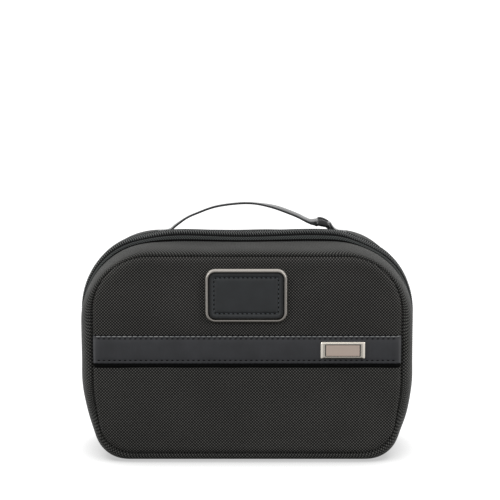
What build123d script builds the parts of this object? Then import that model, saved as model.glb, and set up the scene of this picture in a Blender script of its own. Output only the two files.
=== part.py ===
from build123d import *
from math import cos, sin, tan, radians, atan2, degrees
import os

os.makedirs("parts", exist_ok=True)

# A soft toiletry bag that stands on its base and opens like a book. All sizes are in millimetres.
# X runs across the front, +Y runs from the front to the back and Z is up. The zip lies in the plane Y = 0.
# The front half turns about the X axis, just under the base.

# Depth of each half
FRONT_DEPTH = 48.5
REAR_DEPTH = 52.0
PILLOW_DEPTH = 4.5
GUSSET_ROUND = 12.0
ZIP_VALLEY = 9.0

# Outline of the seam round each big panel, seen from the front
SEAM_HALF_WIDTH = 122.0
SEAM_FOOT_HALF_WIDTH = 114.0
SEAM_TOP = 167.0
SEAM_BOTTOM = 7.8
SEAM_TAPER_Z = 58.0
SEAM_CORNER = 44.0
SEAM_FOOT_CORNER = 20.0
SEAM_SIDE_BEND = 100.0

# Outline of the gusset where it is widest
BELLY_HALF_WIDTH = 131.5
BELLY_FOOT_HALF_WIDTH = 114.5
FRONT_BELLY_TOP = 172.0
REAR_BELLY_TOP = 174.5
BELLY_TAPER_Z = 48.0
FRONT_BELLY_CORNER = 60.0
REAR_BELLY_CORNER = 56.0
BELLY_FOOT_CORNER = 20.0
BELLY_SIDE_BEND = 120.0

# Outline of the outside of the zip teeth
ZIP_HALF_WIDTH = 134.0
ZIP_FOOT_HALF_WIDTH = 102.0
ZIP_TOP = 180.0
ZIP_TAPER_Z = 52.0
ZIP_CORNER = 65.0
ZIP_FOOT_CORNER = 10.0
ZIP_SIDE_BEND = 40.0

# Cloth thicknesses, from the outside inwards
SKIN = 1.2
FOAM = 2.4
LINING = 0.7
PLY_GAP = 0.1
BINDING_WIDTH = 2.0
BINDING_DEPTH = 3.0

# Zip
TOOTH_ROW_WIDTH = 3.3
TOOTH_HEIGHT = 1.5
TAPE = 0.6
TAPE_SEAM = 5.0
ROW_GAP = 0.6
TAPE_FLAT = 1.0
ZIP_END = 9.0
GUSSET_BRIDGE = 5.0
STOP_LENGTH = 2.5
FRONT_ROW_STOP = 28.4
ROW_STOP = 10.4

# Zip slider and its pull
SLIDER_LENGTH = 10.0
SLIDER_HALF_WIDTH = 4.9
SLIDER_CORNER = 2.0
SLIDER_PLATE = 1.2
SLIDER_CLEARANCE = 0.35
SLIDER_PARK_Z = 20.0
SLIDER_POST = 0.5
SLIDER_POST_LENGTH = 4.0
BRIDGE_WIDTH = 2.4
BRIDGE_RISE = 3.2
PULL_LENGTH = 13.0
PULL_WIDTH = 6.6
PULL_CORNER = 2.6
PULL_THICKNESS = 1.2
PULL_EYE = 1.4
PULL_BAR = 0.8

# Play between pieces that move against each other
HINGE_GAP = 0.3
FIT_GAP = 0.3

# Handle
HANDLE_Y = 22.0
STRAP_WIDTH = 12.0
STRAP = 2.4
STRAP_LEFT_X = -62.5
STRAP_PEAK_X = -4.0
STRAP_PEAK_Z = 198.0
STRAP_PIVOT_Z = 182.2
STRAP_BEND = 60.0
RING_WIRE = 2.6
RING_CORNER = 1.6
RING_LENGTH = 13.0
RING_TILT = 12.0
RING_X = 61.5
TAB_END_X = 73.0
TAB_WIDTH = 10.0
LEFT_FOLD_X = -57.5
RIGHT_FOLD_X = 70.0
SEWN_END_LENGTH = 10.0
STRAP_RISE_RUN = 17.0
STRAP_RISE_Z = 190.0
STRAP_FALL_X = 38.0
STRAP_FALL_Z = 189.5

# Leather band, patch and name plate on the front panel
BAND_TOP = 104.0
BAND_HEIGHT = 22.5
BAND = 1.5
PATCH_X = -0.7
PATCH_Z = 137.6
FRAME_WIDTH = 65.5
FRAME_HEIGHT = 42.0
FRAME_BAR = 3.1
FRAME_RISE = 3.0
FRAME_CORNER = 8.5
FRAME_BEVEL = 1.1
PATCH = 1.2
PLATE_X = 75.4
PLATE_WIDTH = 34.8
PLATE_HEIGHT = 13.4
PLATE_RISE = 2.0
PLATE_BEVEL = 0.9
PLATE_FIELD_MARGIN = 2.6
PLATE_FIELD_DEPTH = 0.5
PLATE_CORNER = 1.0
BACKING = 0.8
FRAME_PRONG_SPREAD = 39.3
PLATE_PRONG_SPREAD_X = 20.9
PLATE_PRONG_SPREAD_Z = 8.0
PRONG_WIDTH = 3.0
PRONG = 0.8
PRONG_GAP = 0.1

# Inside pockets and base hinge
POCKET_SIDE_MARGIN = 14.0
POCKET_HEIGHT = 92.0
POCKET_BOTTOM = 22.0
POCKET_DEPTH = 6.4
POCKET_CLOTH = 0.8
ELASTIC_HEIGHT = 8.0
ELASTIC = 0.8
HINGE_STRIP_REACH = 8.0
HINGE_STRIP = 0.8

# Worked out from the sizes above
FOAM_INSET = SKIN + PLY_GAP
LINING_INSET = FOAM_INSET + FOAM + PLY_GAP
INSIDE = LINING_INSET + LINING
ZIP_LEAN = atan2(ZIP_HALF_WIDTH - ZIP_FOOT_HALF_WIDTH, ZIP_TAPER_Z)
POCKET_WIDTH = 2 * (SEAM_FOOT_HALF_WIDTH - POCKET_SIDE_MARGIN)
ALL_WIDE = 2 * ZIP_HALF_WIDTH
ALL_HIGH = 2 * ZIP_TOP

# Sections of the rounded edges, the least corner of an outline and how far a cut runs past a piece
ROUND_STEPS = 4
PILLOW_STEPS = 3
LEAST_CORNER = 1.0
CUT_PAST = 1.0
EDGE_SEARCH = 0.01


def ease(low, high, share):
    return low + (high - low) * share


def outline(sizes, inset, y):
    """A rounded outline with a narrower foot, drawn at the depth y."""
    lean = atan2(sizes["half"] - sizes["foot"], sizes["taper"] - sizes["bottom"])
    half = sizes["half"] - inset
    foot = sizes["foot"] - inset * (1.0 - sin(lean)) / cos(lean)
    taper = sizes["taper"] + inset * tan(lean / 2)
    bottom = sizes["bottom"] + inset
    top = sizes["top"] - inset
    corners = [(-foot, bottom), (foot, bottom), (half, taper)]
    corners += [(half, top), (-half, top), (-half, taper)]
    foot_radius = max(sizes["foot_corner"] - inset, LEAST_CORNER)
    corner_radius = max(sizes["corner"] - inset, LEAST_CORNER)
    bend = sizes["bend"] - inset
    radii = [foot_radius, foot_radius, bend, corner_radius, corner_radius, bend]
    face = make_face(FilletPolyline(*corners, radius=radii, close=True))
    depth_plane = Plane(origin=(0, y, 0), x_dir=(1, 0, 0), z_dir=(0, -1, 0))
    return depth_plane * face


SEAM = dict(half=SEAM_HALF_WIDTH, foot=SEAM_FOOT_HALF_WIDTH, bottom=SEAM_BOTTOM, top=SEAM_TOP)
SEAM.update(taper=SEAM_TAPER_Z, corner=SEAM_CORNER, foot_corner=SEAM_FOOT_CORNER, bend=SEAM_SIDE_BEND)
BELLY = dict(half=BELLY_HALF_WIDTH, foot=BELLY_FOOT_HALF_WIDTH, bottom=0.0, top=FRONT_BELLY_TOP)
BELLY.update(taper=BELLY_TAPER_Z, corner=FRONT_BELLY_CORNER, foot_corner=BELLY_FOOT_CORNER)
BELLY.update(bend=BELLY_SIDE_BEND)
REAR_BELLY = dict(BELLY, top=REAR_BELLY_TOP, corner=REAR_BELLY_CORNER)
ZIP = dict(half=ZIP_HALF_WIDTH, foot=ZIP_FOOT_HALF_WIDTH, bottom=0.0, top=ZIP_TOP)
ZIP.update(taper=ZIP_TAPER_Z, corner=ZIP_CORNER, foot_corner=ZIP_FOOT_CORNER, bend=ZIP_SIDE_BEND)


class Half:
    """One half of the bag: which way it faces, how deep it is and its widest outline."""

    def __init__(self, name, side, depth, belly):
        self.name = name
        self.side = side
        self.depth = depth
        self.belly = belly
        self.seam = depth - PILLOW_DEPTH
        self.belly_end = self.seam - GUSSET_ROUND

    def y(self, distance):
        """The depth plane that lies this far from the zip plane."""
        return self.side * distance

    def between(self, share):
        """The outline at a share of the way from the panel seam to the widest gusset."""
        return {key: ease(SEAM[key], self.belly[key], share) for key in SEAM}


FRONT = Half("front", -1, FRONT_DEPTH, BELLY)
REAR = Half("rear", 1, REAR_DEPTH, REAR_BELLY)


def shell_form(half, inset, stop):
    """The outer form of one half, shrunk by inset, from the panel's face to the depth stop."""
    sections = []
    for step in range(PILLOW_STEPS + 1):
        angle = radians(90.0 * step / PILLOW_STEPS)
        roll = PILLOW_DEPTH * (1.0 - sin(angle))
        depth = half.seam + (PILLOW_DEPTH - inset) * cos(angle)
        sections.append(outline(SEAM, inset + roll, half.y(depth)))
    for step in range(1, ROUND_STEPS + 1):
        angle = radians(90.0 * step / ROUND_STEPS)
        depth = half.seam - GUSSET_ROUND * (1.0 - cos(angle))
        sections.append(outline(half.between(sin(angle)), inset, half.y(depth)))
    rounded = loft(sections, ruled=True)
    straight = extrude(outline(half.belly, inset, half.y(stop)), (stop - half.belly_end) * half.side)
    return rounded + straight


def block(low, high):
    """A box between two corners."""
    size = [high[axis] - low[axis] for axis in range(3)]
    middle = [(high[axis] + low[axis]) / 2 for axis in range(3)]
    return Pos(*middle) * Box(*size)


def slab(half, near, far, bottom=-CUT_PAST, top=ALL_HIGH, reach=ALL_WIDE):
    """A wide box between two distances from the zip plane."""
    low_y = min(half.y(near), half.y(far))
    high_y = max(half.y(near), half.y(far))
    return block((-reach, low_y, bottom), (reach, high_y, top))


def cloth_layer(half, outer_inset, thickness, stop):
    """A layer of cloth that follows the outer form, open at the zip."""
    outer = shell_form(half, outer_inset, stop)
    inner = shell_form(half, outer_inset + thickness, stop - CUT_PAST)
    return outer - inner


def zip_slot(half):
    """The room that the gusset leaves for the zip, above the base."""
    return slab(half, HINGE_GAP - CUT_PAST, ZIP_VALLEY, bottom=GUSSET_BRIDGE)


def make_panel_and_gusset(half):
    skin = cloth_layer(half, 0.0, SKIN, HINGE_GAP)
    panel = skin & slab(half, half.seam + PLY_GAP, half.depth + CUT_PAST)
    gusset = skin & slab(half, 0.0, half.seam)
    return panel, gusset - zip_slot(half)


def make_foam(half):
    edge = ZIP_VALLEY + TAPE_SEAM + PLY_GAP
    return cloth_layer(half, FOAM_INSET, FOAM, edge)


def make_lining(half):
    lining = cloth_layer(half, LINING_INSET, LINING, HINGE_GAP)
    return lining - slab(half, 0.0, ZIP_VALLEY + FIT_GAP, bottom=GUSSET_BRIDGE)


def make_seam_binding(half):
    """The strip that binds the raw edge of the panel seam inside the bag."""
    back = half.seam + PILLOW_DEPTH - INSIDE - PLY_GAP
    outer = outline(SEAM, INSIDE + PILLOW_DEPTH, half.y(back))
    inner = outline(SEAM, INSIDE + PILLOW_DEPTH + BINDING_WIDTH, half.y(back))
    return extrude(outer - inner, BINDING_DEPTH * half.side)


def zip_band(half, outer_inset, thickness, near, far):
    """A strip that follows the zip, between two distances from the zip plane."""
    ring = outline(ZIP, outer_inset, half.y(near)) - outline(ZIP, outer_inset + thickness, half.y(near))
    return extrude(ring, (near - far) * half.side)


STOP_TOP = STOP_LENGTH * cos(ZIP_LEAN) + TOOTH_HEIGHT * sin(ZIP_LEAN) + PLY_GAP


def parked_room(half, top):
    """The room on the right that the front half leaves for the parked slider."""
    if half is REAR:
        return None
    return block((0, -SLIDER_HALF_WIDTH - 2 * FIT_GAP, 0), (ZIP_HALF_WIDTH, 0, top))


def make_teeth(half):
    band = zip_band(half, 0.0, TOOTH_HEIGHT - PLY_GAP, ROW_GAP, ROW_GAP + TOOTH_ROW_WIDTH)
    teeth = band & slab(half, 0.0, ZIP_VALLEY, bottom=ROW_STOP + STOP_TOP)
    room = parked_room(half, FRONT_ROW_STOP + STOP_TOP)
    return teeth - room if room else teeth


def tape_form(half, inset, near_extra):
    tape_inset = TOOTH_HEIGHT + inset
    flat_end = ROW_GAP + TOOTH_ROW_WIDTH + TAPE_FLAT
    under_skin = SKIN + PLY_GAP + inset
    edge = ZIP_VALLEY + TAPE_SEAM
    sections = [
        outline(ZIP, tape_inset, half.y(ROW_GAP - near_extra)),
        outline(ZIP, tape_inset, half.y(flat_end)),
        outline(half.belly, under_skin, half.y(ZIP_VALLEY - PLY_GAP)),
        outline(half.belly, under_skin, half.y(edge + near_extra)),
    ]
    return loft(sections, ruled=True)


def make_tape(half):
    tape = tape_form(half, 0.0, 0.0) - tape_form(half, TAPE, CUT_PAST)
    tape = tape & slab(half, 0.0, REAR_DEPTH, bottom=ZIP_END)
    room = parked_room(half, FRONT_ROW_STOP - PLY_GAP)
    return tape - room if room else tape


def zip_line_x(z):
    """Half the width across the outside of the teeth, on the straight run above the base."""
    share = z / ZIP_TAPER_Z
    return ease(ZIP_FOOT_HALF_WIDTH, ZIP_HALF_WIDTH, share)


def on_zip(piece, z, side=1):
    """Puts a piece on the zip's straight run: its Z runs up the zip and its X points outwards."""
    if side < 0:
        piece = mirror(piece, about=Plane.YZ)
    return Pos(side * zip_line_x(z), 0, z) * Rot(0, side * degrees(ZIP_LEAN), 0) * piece


def make_stops(half, right_z, left_z):
    """A metal clip at each end of one row of teeth."""
    low_y = min(half.y(ROW_GAP), half.y(ROW_GAP + TOOTH_ROW_WIDTH))
    high_y = max(half.y(ROW_GAP), half.y(ROW_GAP + TOOTH_ROW_WIDTH))
    clip = block((-TOOTH_HEIGHT + PLY_GAP, low_y, 0), (0, high_y, STOP_LENGTH))
    right = on_zip(clip, right_z)
    left = on_zip(clip, left_z, side=-1)
    return Compound([right, left])


def make_slider():
    """Two plates round the chain, a thin post between the rows and a bridge for the pull."""
    half_length = SLIDER_LENGTH / 2
    top_low = SLIDER_CLEARANCE
    top = block((top_low, -SLIDER_HALF_WIDTH, -half_length),
                (top_low + SLIDER_PLATE, SLIDER_HALF_WIDTH, half_length))
    top = fillet(top.edges().filter_by(Axis.X), SLIDER_CORNER)
    under_high = -(TOOTH_HEIGHT + TAPE + SLIDER_CLEARANCE)
    under = block((under_high - SLIDER_PLATE, -SLIDER_HALF_WIDTH, -half_length),
                  (under_high, SLIDER_HALF_WIDTH, half_length))
    under = fillet(under.edges().filter_by(Axis.X), SLIDER_CORNER)
    post = block((under_high, -SLIDER_POST / 2, half_length - SLIDER_POST_LENGTH),
                 (top_low, SLIDER_POST / 2, half_length))
    rise = top_low + SLIDER_PLATE
    arch = Pos(rise, 0, 0) * Rot(90, 0, 0) * Cylinder(BRIDGE_RISE, BRIDGE_WIDTH)
    arch = arch & block((rise - PLY_GAP, -BRIDGE_WIDTH, -BRIDGE_RISE),
                        (rise + BRIDGE_RISE, BRIDGE_WIDTH, BRIDGE_RISE))
    eye = Pos(rise + BRIDGE_RISE - PULL_BAR - PULL_EYE, 0, 0) * Rot(90, 0, 0)
    eye = eye * Cylinder(PULL_EYE, BRIDGE_WIDTH * 2)
    return on_zip(top + under + post + (arch - eye), SLIDER_PARK_Z)


PULL_OUT = SLIDER_CLEARANCE + SLIDER_PLATE + BRIDGE_RISE - PULL_BAR - PULL_EYE
PULL_X = zip_line_x(SLIDER_PARK_Z) + PULL_OUT * cos(ZIP_LEAN)
PULL_Z = SLIDER_PARK_Z - PULL_OUT * sin(ZIP_LEAN)


def make_pull():
    """A small metal pull that hangs from a round bar through the slider's bridge."""
    bar = Rot(90, 0, 0) * Cylinder(PULL_BAR, PULL_WIDTH)
    gap = BRIDGE_WIDTH + 2 * FIT_GAP
    plate = block((-PULL_THICKNESS / 2, -PULL_WIDTH / 2, -PULL_LENGTH),
                  (PULL_THICKNESS / 2, PULL_WIDTH / 2, 0))
    plate = fillet(plate.edges().filter_by(Axis.X).sort_by(Axis.Z)[:2], PULL_CORNER)
    window = block((-PULL_WIDTH, -gap / 2, -BRIDGE_RISE - SLIDER_CLEARANCE), (PULL_WIDTH, gap / 2, PULL_WIDTH))
    return Pos(PULL_X, 0, PULL_Z) * (bar + (plate - window))


STRAP_SEAT = REAR_BELLY_TOP + STRAP / 2 + FIT_GAP
RING_REACH = (RING_LENGTH - RING_WIRE) / 2
RING_LEFT_X = RING_X - RING_REACH * cos(radians(RING_TILT))
RING_LEFT_Z = STRAP_PIVOT_Z + RING_REACH * sin(radians(RING_TILT))
RING_RIGHT_X = RING_X + RING_REACH * cos(radians(RING_TILT))
RING_RIGHT_Z = STRAP_PIVOT_Z - RING_REACH * sin(radians(RING_TILT))
LOOP_OUTER = RING_WIRE / 2 + PLY_GAP + STRAP / 2
LOOP_INNER = RING_WIRE / 2 + PLY_GAP
HANDLE_PLANE = Plane(origin=(0, HANDLE_Y, 0), x_dir=(1, 0, 0), z_dir=(0, -1, 0))


def ribbon(points, radii, thickness=STRAP, width=STRAP_WIDTH):
    """A flat strap along a path in the handle's plane."""
    path = FilletPolyline(*points, radius=radii) if radii else Polyline(*points)
    face = trace(path, thickness)
    return extrude(HANDLE_PLANE * face, width / 2, both=True)


def loop_round_bar(x, z, width=STRAP_WIDTH):
    """The eye of cloth sewn round one bar of the ring."""
    eye = Circle(LOOP_OUTER) - Circle(LOOP_INNER)
    return extrude(HANDLE_PLANE * Pos(x, z) * eye, width / 2, both=True)


def bar_room(x, z):
    """The room for one bar of the ring inside its loop."""
    return extrude(HANDLE_PLANE * Pos(x, z) * Circle(LOOP_INNER), STRAP_WIDTH, both=True)


def beside(low_x, high_x):
    """All the room between two planes across the handle."""
    return block((low_x, -REAR_DEPTH, 0), (high_x, 2 * REAR_DEPTH, 2 * ZIP_TOP))


def sewn_end(x, width):
    """The flat end of the handle that is sewn to the top of the rear half."""
    low = (x, HANDLE_Y - width / 2, STRAP_SEAT - STRAP / 2)
    high = (x + SEWN_END_LENGTH, HANDLE_Y + width / 2, STRAP_SEAT + STRAP / 2)
    return block(low, high)


def make_strap():
    """The arched strap with its loop round the ring, and its sewn left end."""
    start = (STRAP_LEFT_X, STRAP_SEAT)
    rise = (STRAP_LEFT_X + STRAP_RISE_RUN, STRAP_RISE_Z)
    peak = (STRAP_PEAK_X, STRAP_PEAK_Z)
    fall = (STRAP_FALL_X, STRAP_FALL_Z)
    end = (RING_LEFT_X - LOOP_INNER - STRAP / 4, RING_LEFT_Z)
    whole = ribbon([start, rise, peak, fall, end], [STRAP_BEND / 3, STRAP_BEND, STRAP_BEND])
    left_end = whole & beside(2 * STRAP_LEFT_X, LEFT_FOLD_X - HINGE_GAP)
    left_end = left_end + sewn_end(STRAP_LEFT_X - SEWN_END_LENGTH, STRAP_WIDTH)
    strap = whole & beside(LEFT_FOLD_X, RING_X)
    strap = strap + loop_round_bar(RING_LEFT_X, RING_LEFT_Z)
    return strap - bar_room(RING_LEFT_X, RING_LEFT_Z), left_end


def make_ring():
    """A flat ring of round wire with round corners, through both loops."""
    half_wide = RING_REACH
    half_long = STRAP_WIDTH / 2 + FIT_GAP + RING_WIRE / 2
    corners = [(-half_wide, -half_long), (half_wide, -half_long)]
    corners += [(half_wide, half_long), (-half_wide, half_long)]
    path = FilletPolyline(*corners, radius=RING_CORNER, close=True)
    start = path.edges().sort_by(Axis.X)[0]
    middle = start @ 0.5
    section = Plane(origin=middle, z_dir=start.tangent_at(0.5)) * Circle(RING_WIRE / 2)
    ring = sweep(section, path=path)
    return Pos(RING_X, HANDLE_Y, STRAP_PIVOT_Z) * Rot(0, RING_TILT, 0) * ring


def make_ring_tab():
    """The short tab from the ring down to the bag: a moving loop and a sewn end."""
    loop_side = (RING_RIGHT_X + LOOP_INNER + STRAP / 4, RING_RIGHT_Z)
    whole = ribbon([loop_side, (TAB_END_X, STRAP_SEAT)], None, width=TAB_WIDTH)
    right_end = whole & beside(RIGHT_FOLD_X + HINGE_GAP, 2 * TAB_END_X)
    right_end = right_end + sewn_end(TAB_END_X, TAB_WIDTH)
    tab = whole & beside(RING_X, RIGHT_FOLD_X)
    tab = tab + loop_round_bar(RING_RIGHT_X, RING_RIGHT_Z, width=TAB_WIDTH)
    return tab - bar_room(RING_RIGHT_X, RING_RIGHT_Z), right_end


def make_band():
    """The leather band, which follows the front panel from seam to seam."""
    strip = slab(FRONT, FRONT.seam + PLY_GAP, FRONT_DEPTH + BAND + CUT_PAST,
                 bottom=BAND_TOP - BAND_HEIGHT, top=BAND_TOP)
    grown = shell_form(FRONT, -BAND, HINGE_GAP)
    plain = shell_form(FRONT, -PLY_GAP, HINGE_GAP)
    return (grown & strip) - plain


def face_plate(x, z, width, height, corner, back, thickness):
    """A plate with round corners on the front, from the depth back and this thick."""
    plane = Plane(origin=(x, -back, z), x_dir=(1, 0, 0), z_dir=(0, -1, 0))
    return extrude(plane * RectangleRounded(width, height, corner), thickness)


def front_edges(plate, level):
    return plate.edges().filter_by_position(Axis.Y, -level - EDGE_SEARCH, -level + EDGE_SEARCH)


def prongs(x, z, spread_x, spread_z, front, grow=0.0):
    """Flat prongs that run back from a metal piece through the panel and its backing plate."""
    back = FRONT_DEPTH - SKIN - 2 * PLY_GAP - BACKING
    group = None
    for side_x in (-1, 1):
        for side_z in (-1, 1):
            centre_x = x + side_x * spread_x / 2
            centre_z = z + side_z * spread_z / 2
            low = (centre_x - PRONG_WIDTH / 2 - grow, -front, centre_z - PRONG / 2 - grow)
            high = (centre_x + PRONG_WIDTH / 2 + grow, -back, centre_z + PRONG / 2 + grow)
            group = block(low, high) if group is None else group + block(low, high)
    return group


FRAME_PRONGS = (PATCH_X, PATCH_Z, FRAME_PRONG_SPREAD, FRAME_HEIGHT - FRAME_BAR)
FRAME_BACK = FRONT_DEPTH + PLY_GAP
PLATE_Z = BAND_TOP - BAND_HEIGHT / 2
PLATE_PRONGS = (PLATE_X, PLATE_Z, PLATE_PRONG_SPREAD_X, PLATE_PRONG_SPREAD_Z)
PLATE_BACK = FRONT_DEPTH + BAND + PLY_GAP


def make_patch_frame():
    outer = face_plate(PATCH_X, PATCH_Z, FRAME_WIDTH, FRAME_HEIGHT, FRAME_CORNER, FRAME_BACK, FRAME_RISE)
    opening = face_plate(PATCH_X, PATCH_Z, FRAME_WIDTH - 2 * FRAME_BAR, FRAME_HEIGHT - 2 * FRAME_BAR,
                         FRAME_CORNER - FRAME_BAR, FRAME_BACK - FRAME_RISE, 3 * FRAME_RISE)
    frame = outer - opening
    frame = chamfer(front_edges(frame, FRAME_BACK + FRAME_RISE), FRAME_BEVEL)
    return frame + prongs(*FRAME_PRONGS, FRAME_BACK + FRAME_RISE / 2)


def make_patch():
    margin = FRAME_BAR + PLY_GAP
    return face_plate(PATCH_X, PATCH_Z, FRAME_WIDTH - 2 * margin, FRAME_HEIGHT - 2 * margin,
                      FRAME_CORNER - margin, FRAME_BACK, PATCH)


def make_name_plate():
    """The small metal plate, with a shallow field for a name that is left bare."""
    plate = face_plate(PLATE_X, PLATE_Z, PLATE_WIDTH, PLATE_HEIGHT, PLATE_CORNER, PLATE_BACK, PLATE_RISE)
    plate = chamfer(front_edges(plate, PLATE_BACK + PLATE_RISE), PLATE_BEVEL)
    field = face_plate(PLATE_X, PLATE_Z, PLATE_WIDTH - 2 * PLATE_FIELD_MARGIN,
                       PLATE_HEIGHT - 2 * PLATE_FIELD_MARGIN, PLATE_CORNER,
                       PLATE_BACK + PLATE_RISE - PLATE_FIELD_DEPTH, PLATE_RISE)
    return plate - field + prongs(*PLATE_PRONGS, PLATE_BACK + PLATE_RISE / 2)


def make_name_plate_inlay():
    margin = PLATE_FIELD_MARGIN + PLY_GAP
    return face_plate(PLATE_X, PLATE_Z, PLATE_WIDTH - 2 * margin, PLATE_HEIGHT - 2 * margin,
                      PLATE_CORNER, PLATE_BACK + PLATE_RISE - PLATE_FIELD_DEPTH, PLATE_FIELD_DEPTH / 2)


def make_backing(x, z, width, height, holes):
    """A thin plate behind the panel's cloth, with slots for the prongs."""
    back = FRONT_DEPTH - SKIN - PLY_GAP - BACKING
    plate = face_plate(x, z, width, height, PLATE_CORNER, back, BACKING)
    return plate - prongs(*holes, FRAME_BACK, grow=PRONG_GAP)


def backing_room(x, z, width, height):
    """The recess in the foam for a backing plate."""
    back = FRONT_DEPTH - SKIN - 3 * PLY_GAP - BACKING
    grown = 2 * PLY_GAP
    return face_plate(x, z, width + grown, height + grown, PLATE_CORNER, back, BACKING + SKIN)


def make_pocket(half):
    """A cloth pocket with a bottom and sides, sewn to the lining and open at the top."""
    wall = half.depth - INSIDE - PLY_GAP
    low = (-POCKET_WIDTH / 2, min(half.y(wall - POCKET_DEPTH), half.y(wall)), POCKET_BOTTOM)
    high = (POCKET_WIDTH / 2, max(half.y(wall - POCKET_DEPTH), half.y(wall)), POCKET_BOTTOM + POCKET_HEIGHT)
    room = slab(half, wall - POCKET_DEPTH + POCKET_CLOTH, wall + CUT_PAST,
                bottom=POCKET_BOTTOM + POCKET_CLOTH, reach=POCKET_WIDTH / 2 - POCKET_CLOTH)
    return block(low, high) - room


def make_elastic(half):
    """The elastic that binds the pocket's top edge."""
    face = half.depth - INSIDE - PLY_GAP - POCKET_DEPTH
    top = POCKET_BOTTOM + POCKET_HEIGHT
    outer = slab(half, face - ELASTIC - PLY_GAP, face + POCKET_CLOTH + PLY_GAP + ELASTIC,
                 bottom=top - ELASTIC_HEIGHT, top=top + ELASTIC + PLY_GAP, reach=POCKET_WIDTH / 2)
    groove = slab(half, face - PLY_GAP, face + POCKET_CLOTH + PLY_GAP, bottom=top - ELASTIC_HEIGHT - CUT_PAST,
                  top=top + PLY_GAP)
    keep = slab(half, 0.0, REAR_DEPTH, reach=POCKET_WIDTH / 2 - POCKET_CLOTH - PLY_GAP)
    return (outer & keep) - groove


def make_hinge_strip():
    """The strip sewn along the middle of the base, inside the rear half."""
    reach = BELLY_FOOT_HALF_WIDTH - BELLY_FOOT_CORNER
    low = (-reach, HINGE_GAP, SKIN + PLY_GAP)
    high = (reach, HINGE_GAP + HINGE_STRIP_REACH, SKIN + PLY_GAP + HINGE_STRIP)
    return block(low, high)


FRAME_BACKING = (PATCH_X, PATCH_Z, FRAME_WIDTH - FRAME_BAR, FRAME_HEIGHT)
PLATE_BACKING = (PLATE_X, PLATE_Z, PLATE_WIDTH - 2 * PLATE_BEVEL, PLATE_HEIGHT - 2 * PLATE_BEVEL)

parts = {}
for half in (FRONT, REAR):
    panel, gusset = make_panel_and_gusset(half)
    panel_name = "front_panel" if half is FRONT else "back_panel"
    parts[panel_name] = panel
    parts[half.name + "_gusset"] = gusset
    parts[half.name + "_foam"] = make_foam(half)
    parts[half.name + "_lining"] = make_lining(half)
    parts[half.name + "_seam_binding"] = make_seam_binding(half)
    parts[half.name + "_zip_tape"] = make_tape(half)
    parts[half.name + "_zip_teeth"] = make_teeth(half)
    parts[half.name + "_pocket"] = make_pocket(half)
    parts[half.name + "_pocket_elastic"] = make_elastic(half)

prong_holes = prongs(*FRAME_PRONGS, FRAME_BACK, grow=PRONG_GAP)
prong_holes = prong_holes + prongs(*PLATE_PRONGS, PLATE_BACK, grow=PRONG_GAP)
parts["front_panel"] = parts["front_panel"] - prong_holes
parts["front_foam"] = parts["front_foam"] - backing_room(*FRAME_BACKING) - backing_room(*PLATE_BACKING)
parts["leather_band"] = make_band() - prong_holes
parts["patch_frame"] = make_patch_frame()
parts["leather_patch"] = make_patch()
parts["patch_backing_plate"] = make_backing(*FRAME_BACKING, FRAME_PRONGS)
parts["name_plate"] = make_name_plate()
parts["name_plate_inlay"] = make_name_plate_inlay()
parts["name_plate_backing"] = make_backing(*PLATE_BACKING, PLATE_PRONGS)
parts["front_zip_stops"] = make_stops(FRONT, FRONT_ROW_STOP, ROW_STOP)
parts["rear_zip_stops"] = make_stops(REAR, ROW_STOP, ROW_STOP)
parts["base_hinge_strip"] = make_hinge_strip()
parts["handle_strap"], parts["handle_left_end"] = make_strap()
parts["handle_ring"] = make_ring()
parts["handle_ring_tab"], parts["handle_right_end"] = make_ring_tab()
parts["zip_slider"] = make_slider()
parts["zip_pull"] = make_pull()

for name, piece in parts.items():
    box = piece.bounding_box()
    print(name, [round(value, 2) for value in (*box.min, *box.max)], round(piece.volume), len(piece.solids()))
    export_step(piece, "parts/" + name + ".step")

print("zip runs along", sin(ZIP_LEAN), 0, cos(ZIP_LEAN))
print("pull hangs from", PULL_X, PULL_Z)
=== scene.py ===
# %% [markdown]
# A soft toiletry bag: two cloth halves joined by a zip, stiffened with thin foam, with a leather band,
# a framed leather patch and a small metal plate on the front, and a flat leather handle on top.
# A bag like this could be one sculpted lump, but it would not open. Here each sewn piece is its own net
# of points, laid out from the same outlines that a pattern cutter would draw, so neighbours meet at
# their seams and every piece can follow the half of the bag that it is sewn to.

# %% Load the frame
import math
import bpy
import numpy as np
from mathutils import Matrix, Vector


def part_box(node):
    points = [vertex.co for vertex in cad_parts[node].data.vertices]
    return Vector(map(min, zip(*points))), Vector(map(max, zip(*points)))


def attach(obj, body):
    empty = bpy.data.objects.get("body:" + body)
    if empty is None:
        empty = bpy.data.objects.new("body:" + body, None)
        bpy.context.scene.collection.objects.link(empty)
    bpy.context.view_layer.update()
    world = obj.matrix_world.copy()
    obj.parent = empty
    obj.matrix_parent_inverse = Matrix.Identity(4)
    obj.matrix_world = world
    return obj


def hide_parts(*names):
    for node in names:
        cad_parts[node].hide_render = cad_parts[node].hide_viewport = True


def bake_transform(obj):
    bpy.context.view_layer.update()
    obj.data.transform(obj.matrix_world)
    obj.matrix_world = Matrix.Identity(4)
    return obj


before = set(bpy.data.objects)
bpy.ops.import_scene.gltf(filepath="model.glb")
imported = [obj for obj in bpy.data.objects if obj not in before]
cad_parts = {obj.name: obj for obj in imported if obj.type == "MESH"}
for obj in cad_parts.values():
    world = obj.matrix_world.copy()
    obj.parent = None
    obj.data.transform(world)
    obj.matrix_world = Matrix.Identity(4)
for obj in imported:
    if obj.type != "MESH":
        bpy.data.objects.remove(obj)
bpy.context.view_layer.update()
MM = 0.001
print("the frame holds", len(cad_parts), "nodes")

# %% [markdown]
# The photograph was taken from straight in front, a little above the bag, with a long lens. The bag's
# known widths and the height of its base in the picture give the distance and the tilt. The camera
# looks at a point above the bag's middle, because the bag stands low in its picture.

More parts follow.
